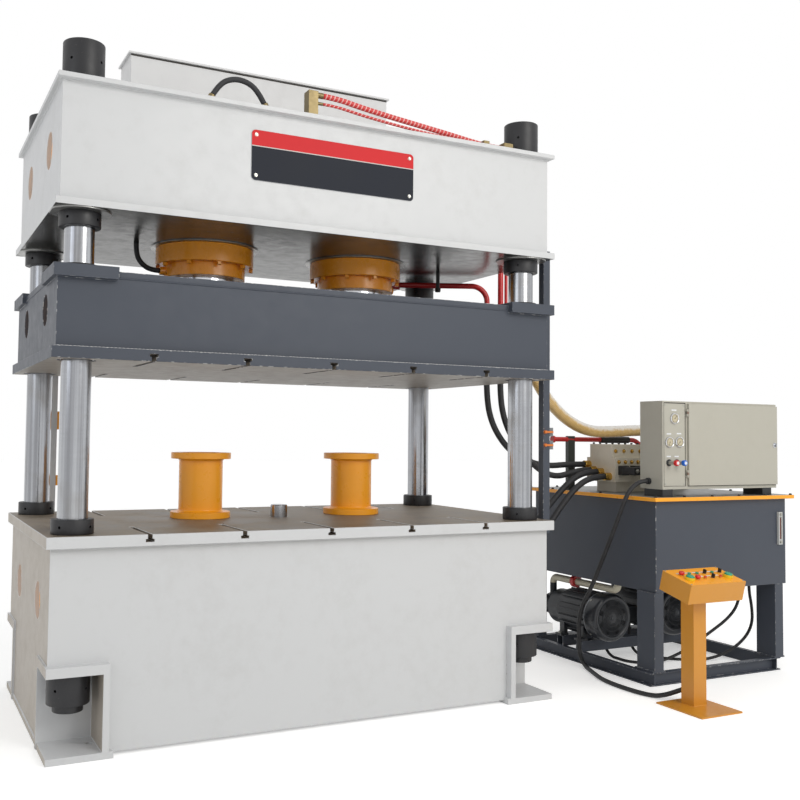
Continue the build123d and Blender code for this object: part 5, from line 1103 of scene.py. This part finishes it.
dressed(
    "cabinet_door",
    "cabinet_door_tray",
    "cabinet_paint",
    beige,
    0.0015,
    "door",
    parts=[(hinge_steel, on_hinge)],
    worn=beige_edge,
    kept=1,
    sheet=True,
)
dressed("door_lock", "door_lock_turned", "lock_chrome", chrome, 0.001, "lock")
LOCK_PLACE = (4.069, -0.9712, 1.859)
ROSETTE = ((0.0146, -0.0035), (0.0165, -0.0050), (0.0205, -0.0035), (0.0215, 0.0), (0.0146, 0.0))
shape = bmesh.new()
turned(shape, LOCK_PLACE, ROSETTE, axis="Y", sides=48)
settle(finished("door_lock_escutcheon", shape, [chrome]), "lock_chrome", "door")
gear_plastic = painted("gear_plastic", (196, 198, 198), 0.45, 0.4)
GEAR_RAIL_FRONT = -0.739
LOWER_ROW_TOP = 1.780
rows = [
    (zinc, lambda middle, normal: middle.y > GEAR_RAIL_FRONT - 0.0005),
    (coil_plastic, lambda middle, normal: middle.z < LOWER_ROW_TOP),
]
dressed("cabinet_gear", "cabinet_gear_rows", "gear_plastic", gear_plastic, 0.001, parts=rows)


# The folded seam round the gauge panel is drawn as dark strips of painted shadow; under the door the
# strip is its rubber seal, widened with painted shadow.
def on_front(shape, x0, x1, z0, z1, proud, sunk=0.001):
    """Add a thin plate that stands proud of the cabinet's front."""
    slab(shape, (x0, CABINET_FACE - proud, z0), (x1, CABINET_FACE + sunk, z1))


# Painted shadow: dark strips in the seam round the panel and under the door.
shape = bmesh.new()
on_front(shape, 2.858, 3.084, 1.527, 1.530, 0.0006)
on_front(shape, 2.858, 3.084, 2.181, 2.184, 0.0006)
on_front(shape, 2.858, 2.861, 1.530, 2.181, 0.0006)
on_front(shape, 3.081, 3.084, 1.530, 2.181, 0.0006)
on_front(shape, 2.858, 3.087, 2.1815, 2.1885, 0.0008)
on_front(shape, 3.0815, 3.0875, 1.527, 2.1885, 0.0008)
on_front(shape, 3.108, 4.103, 1.5265, 1.5330, 0.0002)
settle(finished("cabinet_seam_shadow_strips", shape, [gap_shadow]), "gear_plastic", "machine")

# The panel is a plate of its own, with a hole for each gauge and valve, screws and blank labels.
GAUGES = ((2.965, 2.062, 40), (2.911, 1.874, 200), (3.017, 1.877, 225))
PANEL_PROUD = 0.0015
PANEL_FACE = CABINET_FACE - PANEL_PROUD
HOLES = [(x, z, 0.0335, 48) for x, z, lean in GAUGES] + [(x, VALVE_Z, 0.0185, 32) for x, name in VALVES]
LABEL_HALF_HEIGHT = 0.0055
LABELS = (
    (2.965, 2.128, 0.026),
    (2.911, 1.940, 0.024),
    (3.017, 1.943, 0.024),
    (2.908, 1.762, 0.022),
    (2.990, 1.762, 0.022),
)
shape = bmesh.new()
on_front(shape, 2.862, 3.080, 1.531, 2.180, PANEL_PROUD)
holes = bmesh.new()
for x, z, radius, sides in HOLES:
    bore(holes, (x, CABINET_FACE, z), FRONT, radius, 0.02, sides)
panel = finished("gauge_panel_plate", shape, [beige], 0.0006, segments=1)
settle(carved(panel, holes), "cabinet_paint", "machine")
PANEL_SCREWS = [((x, PANEL_FACE, z), FRONT) for x in (2.872, 3.070) for z in (1.545, 2.166)]
studs("gauge_panel_screws", PANEL_SCREWS, 16, (0.0045, 0.002), (0.0065, 0.001), zinc)
label_white = painted("label_white", (226, 228, 230), 0.35, 0.3, (190, 190, 190))
shape = bmesh.new()
for x, z, half in LABELS:
    low = z - LABEL_HALF_HEIGHT
    on_front(shape, x - half, x + half, low, z + LABEL_HALF_HEIGHT, PANEL_PROUD + 0.001, -0.001)
settle(finished("blank_labels", shape, [label_white], 0.0004, segments=1), "gauge_case", "machine")


# Each gauge is a chromed bezel round a pale dial with a ring of marks and a needle.
def forward(profile):
    """A profile turned to face the front."""
    return [(radius, -height) for radius, height in profile]


dial_cream = painted("dial_cream", (196, 186, 158), 0.35, 0.4, (168, 154, 124))
needle_black = painted("needle_black", (22, 22, 22), 0.4, 0.3)
BEZEL = (
    (0.038, 0.0016), (0.043, 0.0016), (0.043, 0.01), (0.0412, 0.0155), (0.0388, 0.0175), (0.0358, 0.016),
    (0.034, 0.0135), (0.034, 0.012), (0.038, 0.012),
)
shape = bmesh.new()
for x, z, lean in GAUGES:
    middle = (x, CABINET_FACE, z)
    turned(shape, middle, forward(BEZEL), axis="Y", sides=64)
    turned(shape, middle, forward(bar(0.0380, 0.0016, 0.0125)), axis="Y", sides=64, material=1)
    swing = Matrix.Translation(middle) @ Matrix.Rotation(math.radians(lean), 4, "Y")
    slab(shape, (-0.0009, -0.0145, -0.008), (0.0009, -0.0136, 0.026), swing, 2)
    turned(shape, middle, forward(bar(0.0028, 0.0122, 0.0152)), axis="Y", sides=24, material=2)
gauges = finished("pressure_gauge_set", shape, [chrome, dial_cream, needle_black])
gauges.data.set_sharp_from_angle(angle=math.radians(40))
settle(gauges, "gauge_case", "machine", "pressure_gauges")
marks = [((x, CABINET_FACE - 0.0127, z), FRONT) for x, z, lean in GAUGES]
ribs_round("pressure_gauge_marks", "gauge_case", marks, 30, 0.0260, 0.0305, 0.0008, 0.0005, needle_black)

# The needle valves' hand knobs are ribbed plastic with a flat cap.
knob_red = painted("knob_red", (206, 36, 40), 0.22, 0.4)
knob_blue = painted("knob_blue", (28, 104, 206), 0.22, 0.4)
KNOB_BACK = -1.020
KNOB = (
    (0.0101, 0), (0.02, 0), (0.023, 0.003), (0.023, 0.022), (0.021, 0.027), (0.016, 0.0296), (0, 0.0296),
    (0, 0.015), (0.0101, 0.015),
)
shape = bmesh.new()
for x, name in VALVES:
    middle = (x, PANEL_FACE, VALVE_Z)
    turned(shape, middle, forward(ring(0.0270, 0.0102, 0.0, 0.008)), axis="Y", sides=48, material=1)
    length = PANEL_FACE - KNOB_BACK - 0.001
    turned(shape, middle, forward(ring(0.0165, 0.0102, 0.008, length)), axis="Y", sides=48)
settle(finished("valve_stem_sleeves", shape, [zinc, coil_plastic], 0.001), "machined_steel", "machine")
for (x, name), grip in zip(VALVES, (knob_red, knob_blue)):
    shape = bmesh.new()
    middle = (x, KNOB_BACK, VALVE_Z)
    turned(shape, middle, forward(KNOB), axis="Y", sides=72, lobes=12, depth=0.03)
    turned(shape, middle, forward(bar(0.0125, 0.029, 0.0302)), axis="Y", sides=32, material=1)
    knob = finished(f"{name}_valve_knob_grip", shape, [grip, label_white])
    settle(knob, f"{name}_knob", f"{name}_knob", f"{name}_valve_knob")


# The operator's pedestal
# A square tube on a floor plate with a sloping console, and its buttons. Post and console are painted a
# duller yellow as painted shade; the console's top takes the brighter yellow as painted light from above.
SHADE_DULLED_YELLOW = (208, 142, 44)
DULL_GRIME = (160, 100, 34)
# A duller copy of the press's yellow, darkened as painted shade on the sides of post and console.
pedestal_shaded_yellow = painted("pedestal_shaded_yellow", SHADE_DULLED_YELLOW, 0.34, 0.25, DULL_GRIME)
pedestal_edge = painted("pedestal_edge", SHADE_DULLED_YELLOW, 0.34, 0.3, DULL_GRIME, 0.08, (236, 196, 120))
POST_X = 2.615
POST_HALF = 0.060
POST_FRONT = -1.540
PLATE_TOP = 0.012
dressed("pedestal", "pedestal_post", "yellow_paint", pedestal_shaded_yellow, 0.002, worn=pedestal_edge)
foot = around(POST_X - POST_HALF, POST_X + POST_HALF, POST_FRONT, POST_FRONT + 2 * POST_HALF, PLATE_TOP)
weld("pedestal_weld", "yellow_paint", pedestal_shaded_yellow, 0.010, [foot])
CONSOLE_MIDDLE = 0.260
CONSOLE_FACE = 0.140
CONSOLE_PLACE = (
    Matrix.Translation((POST_X - CONSOLE_MIDDLE, -1.685, 0.762)) @ Matrix.Rotation(math.radians(14), 4, "X")
)
OUT = CONSOLE_PLACE.to_3x3() @ Vector(UP)
# The console's sloping top takes the brighter yellow: painted light falling from above.
dressed(
    "console",
    "console_box",
    "yellow_paint",
    pedestal_shaded_yellow,
    0.0015,
    parts=[(yellow, lambda middle, normal: normal.dot(OUT) > 0.95)],
    worn=pedestal_edge,
    sheet=True,
)
BACK_ROW = 0.176
FRONT_ROW = 0.096
COLUMN_STEP = 0.073


def across(column):
    """How far along the console one of its six columns of controls stands."""
    return CONSOLE_MIDDLE + (column - 2.5) * COLUMN_STEP


SCREWS = [(CONSOLE_PLACE @ Vector((x, y, CONSOLE_FACE)), OUT) for x in (0.014, 0.506) for y in (0.014, 0.266)]
studs("console_screws", SCREWS, 16, (0.0045, 0.0025), (0.0065, 0.001), zinc)
shape = bmesh.new()
for row, columns in ((BACK_ROW + 0.031, range(6)), (FRONT_ROW + 0.042, (1, 2, 3, 4))):
    for column in columns:
        low = (across(column) - 0.019, row - 0.006, CONSOLE_FACE - 0.0005)
        high = (across(column) + 0.019, row + 0.006, CONSOLE_FACE + 0.001)
        slab(shape, low, high, CONSOLE_PLACE)
settle(finished("blank_console_labels", shape, [label_white], 0.0003, segments=1), "gauge_case", "machine")
palm_yellow = painted("palm_collar_yellow", (226, 200, 40), 0.3, 0.3)
lamp_red = painted("lamp_red", (206, 60, 58), 0.18, 0.3)
shape = bmesh.new()
for column in (0, 5):
    turned(shape, (across(column), FRONT_ROW, CONSOLE_FACE), ring(0.0345, 0.0312, 0.0, 0.022), sides=64)
shape.transform(CONSOLE_PLACE)
settle(finished("palm_button_guards", shape, [palm_yellow], 0.001), "yellow_paint", "machine")
LAMP_BASE = CONSOLE_FACE + 0.010
LAMPS = [(CONSOLE_PLACE @ Vector((across(column), FRONT_ROW, LAMP_BASE)), OUT) for column in (2, 4)]
studs("console_lamp_lenses", LAMPS, 24, (0.0095, 0.006), (0.0105, 0.002), lamp_red, "red_plastic")
button_red = painted("button_red", (212, 42, 44), 0.25, 0.3)
button_green = painted("button_green", (48, 158, 128), 0.25, 0.3)
button_black = painted("button_black", (24, 24, 26), 0.28, 0.3)
BUTTONS = (
    (button_red, "red_plastic", ("emergency_stop_button", "return_button")),
    (button_green, "green_plastic", ("green_button_left", "green_button_middle", "green_button_right")),
    (button_green, "green_plastic", ("palm_button_left", "palm_button_right")),
    (button_black, "black_plastic", ("selector_left", "selector_middle", "selector_right")),
)
for material, slot, names in BUTTONS:
    for name in names:
        dressed(name, f"{name}_cap", slot, material, 0.0006, f"{name}_body")


# The hoses and cables
# Rubber hoses with a fabric cover, one clear ribbed return hose, and black cables. Each follows the
# points of its route; the line through them is a spline, read off and given its thickness.
def route_line(points, fineness):
    """The points along a route's smooth line, from given points in metres."""
    data = bpy.data.curves.new("route", "CURVE")
    data.dimensions = "3D"
    data.resolution_u = fineness
    spline = data.splines.new("NURBS")
    spline.points.add(len(points) - 1)
    for point, place in zip(spline.points, points):
        point.co = (*place, 1)
    spline.order_u = 3
    spline.use_endpoint_u = True
    bent = new_object("route", data)
    line = applied(bent)
    places = [vertex.co.copy() for vertex in line.vertices]
    bpy.data.objects.remove(bent)
    bpy.data.curves.remove(data)
    bpy.data.meshes.remove(line)
    return places


def tube(name, line, radius_at, sides, material):
    """A round tube along a line, its radius given by how far along it is, with a map for patterns."""
    reach = [0.0]
    for before, after in zip(line, line[1:]):
        reach.append(reach[-1] + (after - before).length)
    shape = bmesh.new()
    chart = shape.loops.layers.uv.new("UVMap")
    heading = (line[1] - line[0]).normalized()
    across = heading.orthogonal().normalized()
    rings = []
    for i, place in enumerate(line):
        ahead = (line[min(i + 1, len(line) - 1)] - line[max(i - 1, 0)]).normalized()
        across = heading.rotation_difference(ahead) @ across
        across = (across - across.dot(ahead) * ahead).normalized()
        heading = ahead
        side = heading.cross(across)
        radius = radius_at(reach[i])
        ring = []
        for k in range(sides):
            turn = 2 * math.pi * k / sides
            ring.append(shape.verts.new(place + radius * (math.cos(turn) * across + math.sin(turn) * side)))
        rings.append(ring)
    for i in range(len(rings) - 1):
        for k in range(sides):
            after = (k + 1) % sides
            face = shape.faces.new((rings[i][k], rings[i][after], rings[i + 1][after], rings[i + 1][k]))
            face.smooth = True
            spots = ((i, k), (i, k + 1), (i + 1, k + 1), (i + 1, k))
            for loop, (step, turn) in zip(face.loops, spots):
                loop[chart].uv = (reach[step], turn / sides)
    shape.faces.new(reversed(rings[0]))
    shape.faces.new(rings[-1])
    mesh = bpy.data.meshes.new(name)
    shape.to_mesh(mesh)
    shape.free()
    mesh.materials.append(material)
    return new_object(name, mesh)


def laid(name, node, slot, look, points, length, diameter, stiffness, fineness=14, radius_at=None):
    """A hose or cable laid along its route. The look is its material and how many sides it has."""
    material, sides = look
    line = route_line(points, fineness)
    made = tube(name, line, radius_at or (lambda reach: diameter / 2), sides, material)
    settle(made, slot, "machine", node)


def rubber(name, skin, weave):
    """Black rubber under a woven cover, a little dusty."""
    material, tree, coords = new_material(name)
    threads = []
    for lean in (24.0, -24.0):
        given = {"Vector": stretched(tree, coords["UV"], weave, lean, 1.0), "Scale": 1.0, "Distortion": 0.3}
        threads.append(add(tree, "TexWave", given, bands_direction="DIAGONAL").outputs["Fac"])
    dust = noise(tree, coords["Object"], 7.0, 5.0)
    feed(
        tree,
        Base_Color=mixed(tree, ranged(tree, dust, 0.42, 0.75, 0.0, 0.5), colour(*skin), colour(70, 70, 72)),
        Roughness=ranged(tree, dust, 0.3, 0.7, 0.5, 0.72),
        Normal=bumped(tree, maths(tree, "MULTIPLY", *threads), 0.35, 0.001),
    )
    return material


black_cover = rubber("black_hose_cover", (30, 30, 33), 260.0)
cable_sheath = rubber("cable_sheath", (24, 24, 26), 700.0)

RETURN_HOSE_DIAMETER = 0.100
RETURN_HOSE = (
    (1.083, 0.52, 4.235), (1.44, 0.52, 4.235), (1.79, 0.44, 4.2), (2.04, 0.3, 4.01), (2.15, 0.14, 3.69),
    (2.18, 0.03, 3.34), (2.182, 0, 2.985), (2.215, 0, 2.64), (2.37, 0, 2.33), (2.61, 0, 2.085),
    (2.9, 0, 1.955), (3.21, 0, 1.962), (3.5, 0, 1.978), (3.77, 0, 1.978),
)
RIB_PITCH = 0.014
RIB_HEIGHT = 0.0016
ribbed_hose, tree, coords = new_material("ribbed_return_hose")
lengthwise = add(tree, "SeparateXYZ", {0: coords["UV"]}).outputs["X"]
rib = maths(tree, "COSINE", maths(tree, "MULTIPLY", lengthwise, 2 * math.pi / RIB_PITCH))
crinkle = noise(tree, coords["Object"], 26.0, 5.0, Distortion=0.4)
# The hose is painted paler where it faces up: a painted highlight from above, added to the random crinkle of
# its clear film.
lean = add(tree, "SeparateXYZ", {0: add(tree, "NewGeometry").outputs["Normal"]}).outputs["Z"]
film = ranged(tree, maths(tree, "ADD", crinkle, lean), 0.55, 1.05, 0.12, 0.92)
yellowed = mixed(tree, ranged(tree, rib, -0.3, 0.9), colour(196, 150, 62), colour(232, 196, 112))
feed(
    tree,
    Base_Color=mixed(tree, film, yellowed, colour(226, 224, 220)),
    Roughness=ranged(tree, crinkle, 0.3, 0.7, 0.2, 0.4),
    Normal=bumped(tree, crinkle, 0.35, 0.004),
    Coat_Weight=0.4,
    Coat_Roughness=0.15,
)


def ribbed(reach):
    """The return hose's radius, which is full on a rib and less between two."""
    return RETURN_HOSE_DIAMETER / 2 - RIB_HEIGHT * (1 - math.cos(2 * math.pi * reach / RIB_PITCH))


look = (ribbed_hose, 28)
given = (RETURN_HOSE, 4.349, RETURN_HOSE_DIAMETER, "stiff")
laid("return_hose_tube", "return_hose", "ribbed_hose", look, *given, fineness=56, radius_at=ribbed)

HOSE_DIAMETER = 0.050
CABLE_DIAMETER = 0.025
CONDUIT_DIAMETER = 0.034
CROWN_HOSE_DIAMETER = 0.036
PRESSURE_HOSE_1 = (
    (1.88, 0.06, 2.44), (1.88, 0.06, 2.25), (1.915, 0.055, 2.05), (2.01, 0.045, 1.88), (2.15, 0.035, 1.75),
    (2.33, 0.025, 1.68), (2.5, 0.012, 1.657), (2.68, 0, 1.672), (2.861, 0, 1.672),
)
PRESSURE_HOSE_2 = (
    (1.975, 0, 2.44), (1.975, 0, 2.25), (2.005, -0.008, 2.06), (2.08, -0.025, 1.89), (2.2, -0.042, 1.745),
    (2.345, -0.058, 1.618), (2.5, -0.07, 1.567), (2.66, -0.075, 1.6), (2.77, -0.075, 1.625),
    (2.861, -0.075, 1.625),
)
EJECTOR_HOSE_1 = (
    (2.861, -0.165, 1.612), (2.74, -0.165, 1.612), (2.59, -0.158, 1.545), (2.43, -0.143, 1.395),
    (2.27, -0.127, 1.215), (2.11, -0.113, 1.095), (1.97, -0.105, 1.045), (1.85, -0.105, 1.045),
)
EJECTOR_HOSE_2 = (
    (2.861, -0.26, 1.575), (2.745, -0.26, 1.575), (2.59, -0.253, 1.51), (2.43, -0.24, 1.345),
    (2.275, -0.226, 1.14), (2.12, -0.213, 0.985), (1.975, -0.205, 0.925), (1.85, -0.205, 0.925),
)
CONDUIT = (
    (2.82, -0.806, 1.564), (2.756, -0.806, 1.564), (2.679, -0.797, 1.52), (2.636, -0.774, 1.445),
    (2.636, -0.697, 1.293), (2.636, -0.565, 1.039), (2.636, -0.45, 0.83), (2.636, -0.347, 0.646),
    (2.636, -0.245, 0.505), (2.636, -0.203, 0.37), (2.636, -0.207, 0.24), (2.632, -0.213, 0.126),
    (2.625, -0.253, 0.057), (2.612, -0.322, 0.0173), (2.58, -0.4, 0.0173), (2.52, -0.54, 0.0173),
    (2.462, -0.69, 0.0173), (2.44, -0.85, 0.0173), (2.442, -1.01, 0.0173), (2.455, -1.13, 0.0173),
    (2.49, -1.225, 0.0173), (2.524, -1.289, 0.036), (2.556, -1.349, 0.067), (2.586, -1.405, 0.099),
)
MOTOR_CABLE_1 = (
    (4.07, -0.6, 0.707), (4.07, -0.6, 0.59), (4.03, -0.598, 0.455), (3.925, -0.58, 0.35),
    (3.757, -0.54, 0.242), (3.59, -0.49, 0.125), (3.45, -0.44, 0.05), (3.32, -0.405, 0.013),
    (3.203, -0.395, 0.0128), (3.125, -0.35, 0.0128), (3.08, -0.272, 0.0128), (3.082, -0.187, 0.0128),
    (3.08, -0.1065, 0.0128), (3.08, -0.039, 0.0518), (3.08, -0.002, 0.1193), (3.08, 0, 0.205),
    (3.08, 0, 0.29),
)
MOTOR_CABLE_2 = (
    (4.13, -0.64, 0.707), (4.13, -0.64, 0.6), (4.146, -0.655, 0.47), (4.144, -0.665, 0.34),
    (4.09, -0.66, 0.23), (3.985, -0.63, 0.13), (3.868, -0.575, 0.055), (3.74, -0.507, 0.014),
    (3.63, -0.455, 0.0128), (3.535, -0.395, 0.0128), (3.46, -0.325, 0.0128), (3.408, -0.25, 0.0128),
    (3.379, -0.183, 0.0128), (3.37, -0.1065, 0.0128), (3.37, -0.039, 0.0518), (3.37, -0.002, 0.1193),
    (3.37, 0, 0.205), (3.37, 0, 0.29),
)
CROWN_HOSE_1 = (
    (-0.83, -0.82, 4.06), (-0.783, -0.82, 4.142), (-0.7, -0.82, 4.19), (-0.605, -0.82, 4.19),
    (-0.523, -0.82, 4.142), (-0.476, -0.82, 4.06),
)
CROWN_HOSE_2 = (
    (-0.936, 0, 3.045), (-1.001, 0, 3.045), (-1.0668, 0, 3.083), (-1.1048, 0, 3.1488), (-1.1048, 0, 3.225),
)
for name, points, length in (
    ("pressure_hoses_1", PRESSURE_HOSE_1, 1.500),
    ("pressure_hoses_2", PRESSURE_HOSE_2, 1.474),
    ("ejector_hoses_1", EJECTOR_HOSE_1, 1.210),
    ("ejector_hoses_2", EJECTOR_HOSE_2, 1.266),
):
    laid(name, name[:-2], "black_hose", (black_cover, 24), points, length, HOSE_DIAMETER, "stiff")
given = (CONDUIT, 3.016, CONDUIT_DIAMETER, "limp")
laid("console_conduit_tube", "console_conduit", "black_hose", (cable_sheath, 20), *given, fineness=10)
for number, points, length in ((1, MOTOR_CABLE_1, 1.901), (2, MOTOR_CABLE_2, 1.833)):
    given = (points, length, CABLE_DIAMETER, "medium")
    laid(f"motor_cable_{number}", "motor_cables", "black_hose", (cable_sheath, 16), *given, fineness=10)
for number, points, length in ((1, CROWN_HOSE_1, 0.467), (2, CROWN_HOSE_2, 0.289)):
    given = (points, length, CROWN_HOSE_DIAMETER, "limp")
    laid(f"crown_hose_{number}", "crown_hoses", "black_hose", (black_cover, 20), *given)

# The pilot hoses are red with a pale spiral sleeve wound round them.
SPIRAL_PITCH = 0.030
SPIRAL_SHARE = 0.3
spiral_red, tree, coords = new_material("red_hose_in_spiral_sleeve")
split = add(tree, "SeparateXYZ", {0: coords["UV"]}).outputs
turning = maths(tree, "ADD", maths(tree, "MULTIPLY", split["X"], 1 / SPIRAL_PITCH), split["Y"])
gap = maths(tree, "LESS_THAN", maths(tree, "FRACT", turning), SPIRAL_SHARE)
worn = noise(tree, coords["Object"], 30.0, 4.0)
sleeve = mixed(tree, worn, colour(196, 40, 42), colour(214, 62, 58))
feed(
    tree,
    Base_Color=mixed(tree, gap, sleeve, colour(232, 170, 165)),
    Roughness=ranged(tree, worn, 0.3, 0.7, 0.35, 0.5),
    Normal=bumped(tree, gap, 0.6, 0.001, invert=True),
)
PILOT_HOSE_1 = (
    (-0.055, -0.82, 4.183), (0.05, -0.82, 4.183), (0.236, -0.82, 4.152), (0.476, -0.82, 4.122),
    (0.724, -0.82, 4.096), (0.98, -0.82, 4.068), (1.19, -0.82, 4.042), (1.32, -0.82, 4.036),
    (1.4, -0.82, 4.036),
)
PILOT_HOSE_2 = (
    (-0.055, -0.82, 4.128), (0.05, -0.82, 4.128), (0.23, -0.823, 4.099), (0.46, -0.83, 4.072),
    (0.7, -0.842, 4.048), (0.93, -0.856, 4.031), (1.1, -0.86, 4.03), (1.2, -0.86, 4.03),
)
for number, points, length, diameter in ((1, PILOT_HOSE_1, 1.464, 0.038), (2, PILOT_HOSE_2, 1.261, 0.020)):
    look = (spiral_red, 20)
    laid(f"pilot_hose_{number}", "pilot_hoses", "red_hose", look, points, length, diameter, "stiff")
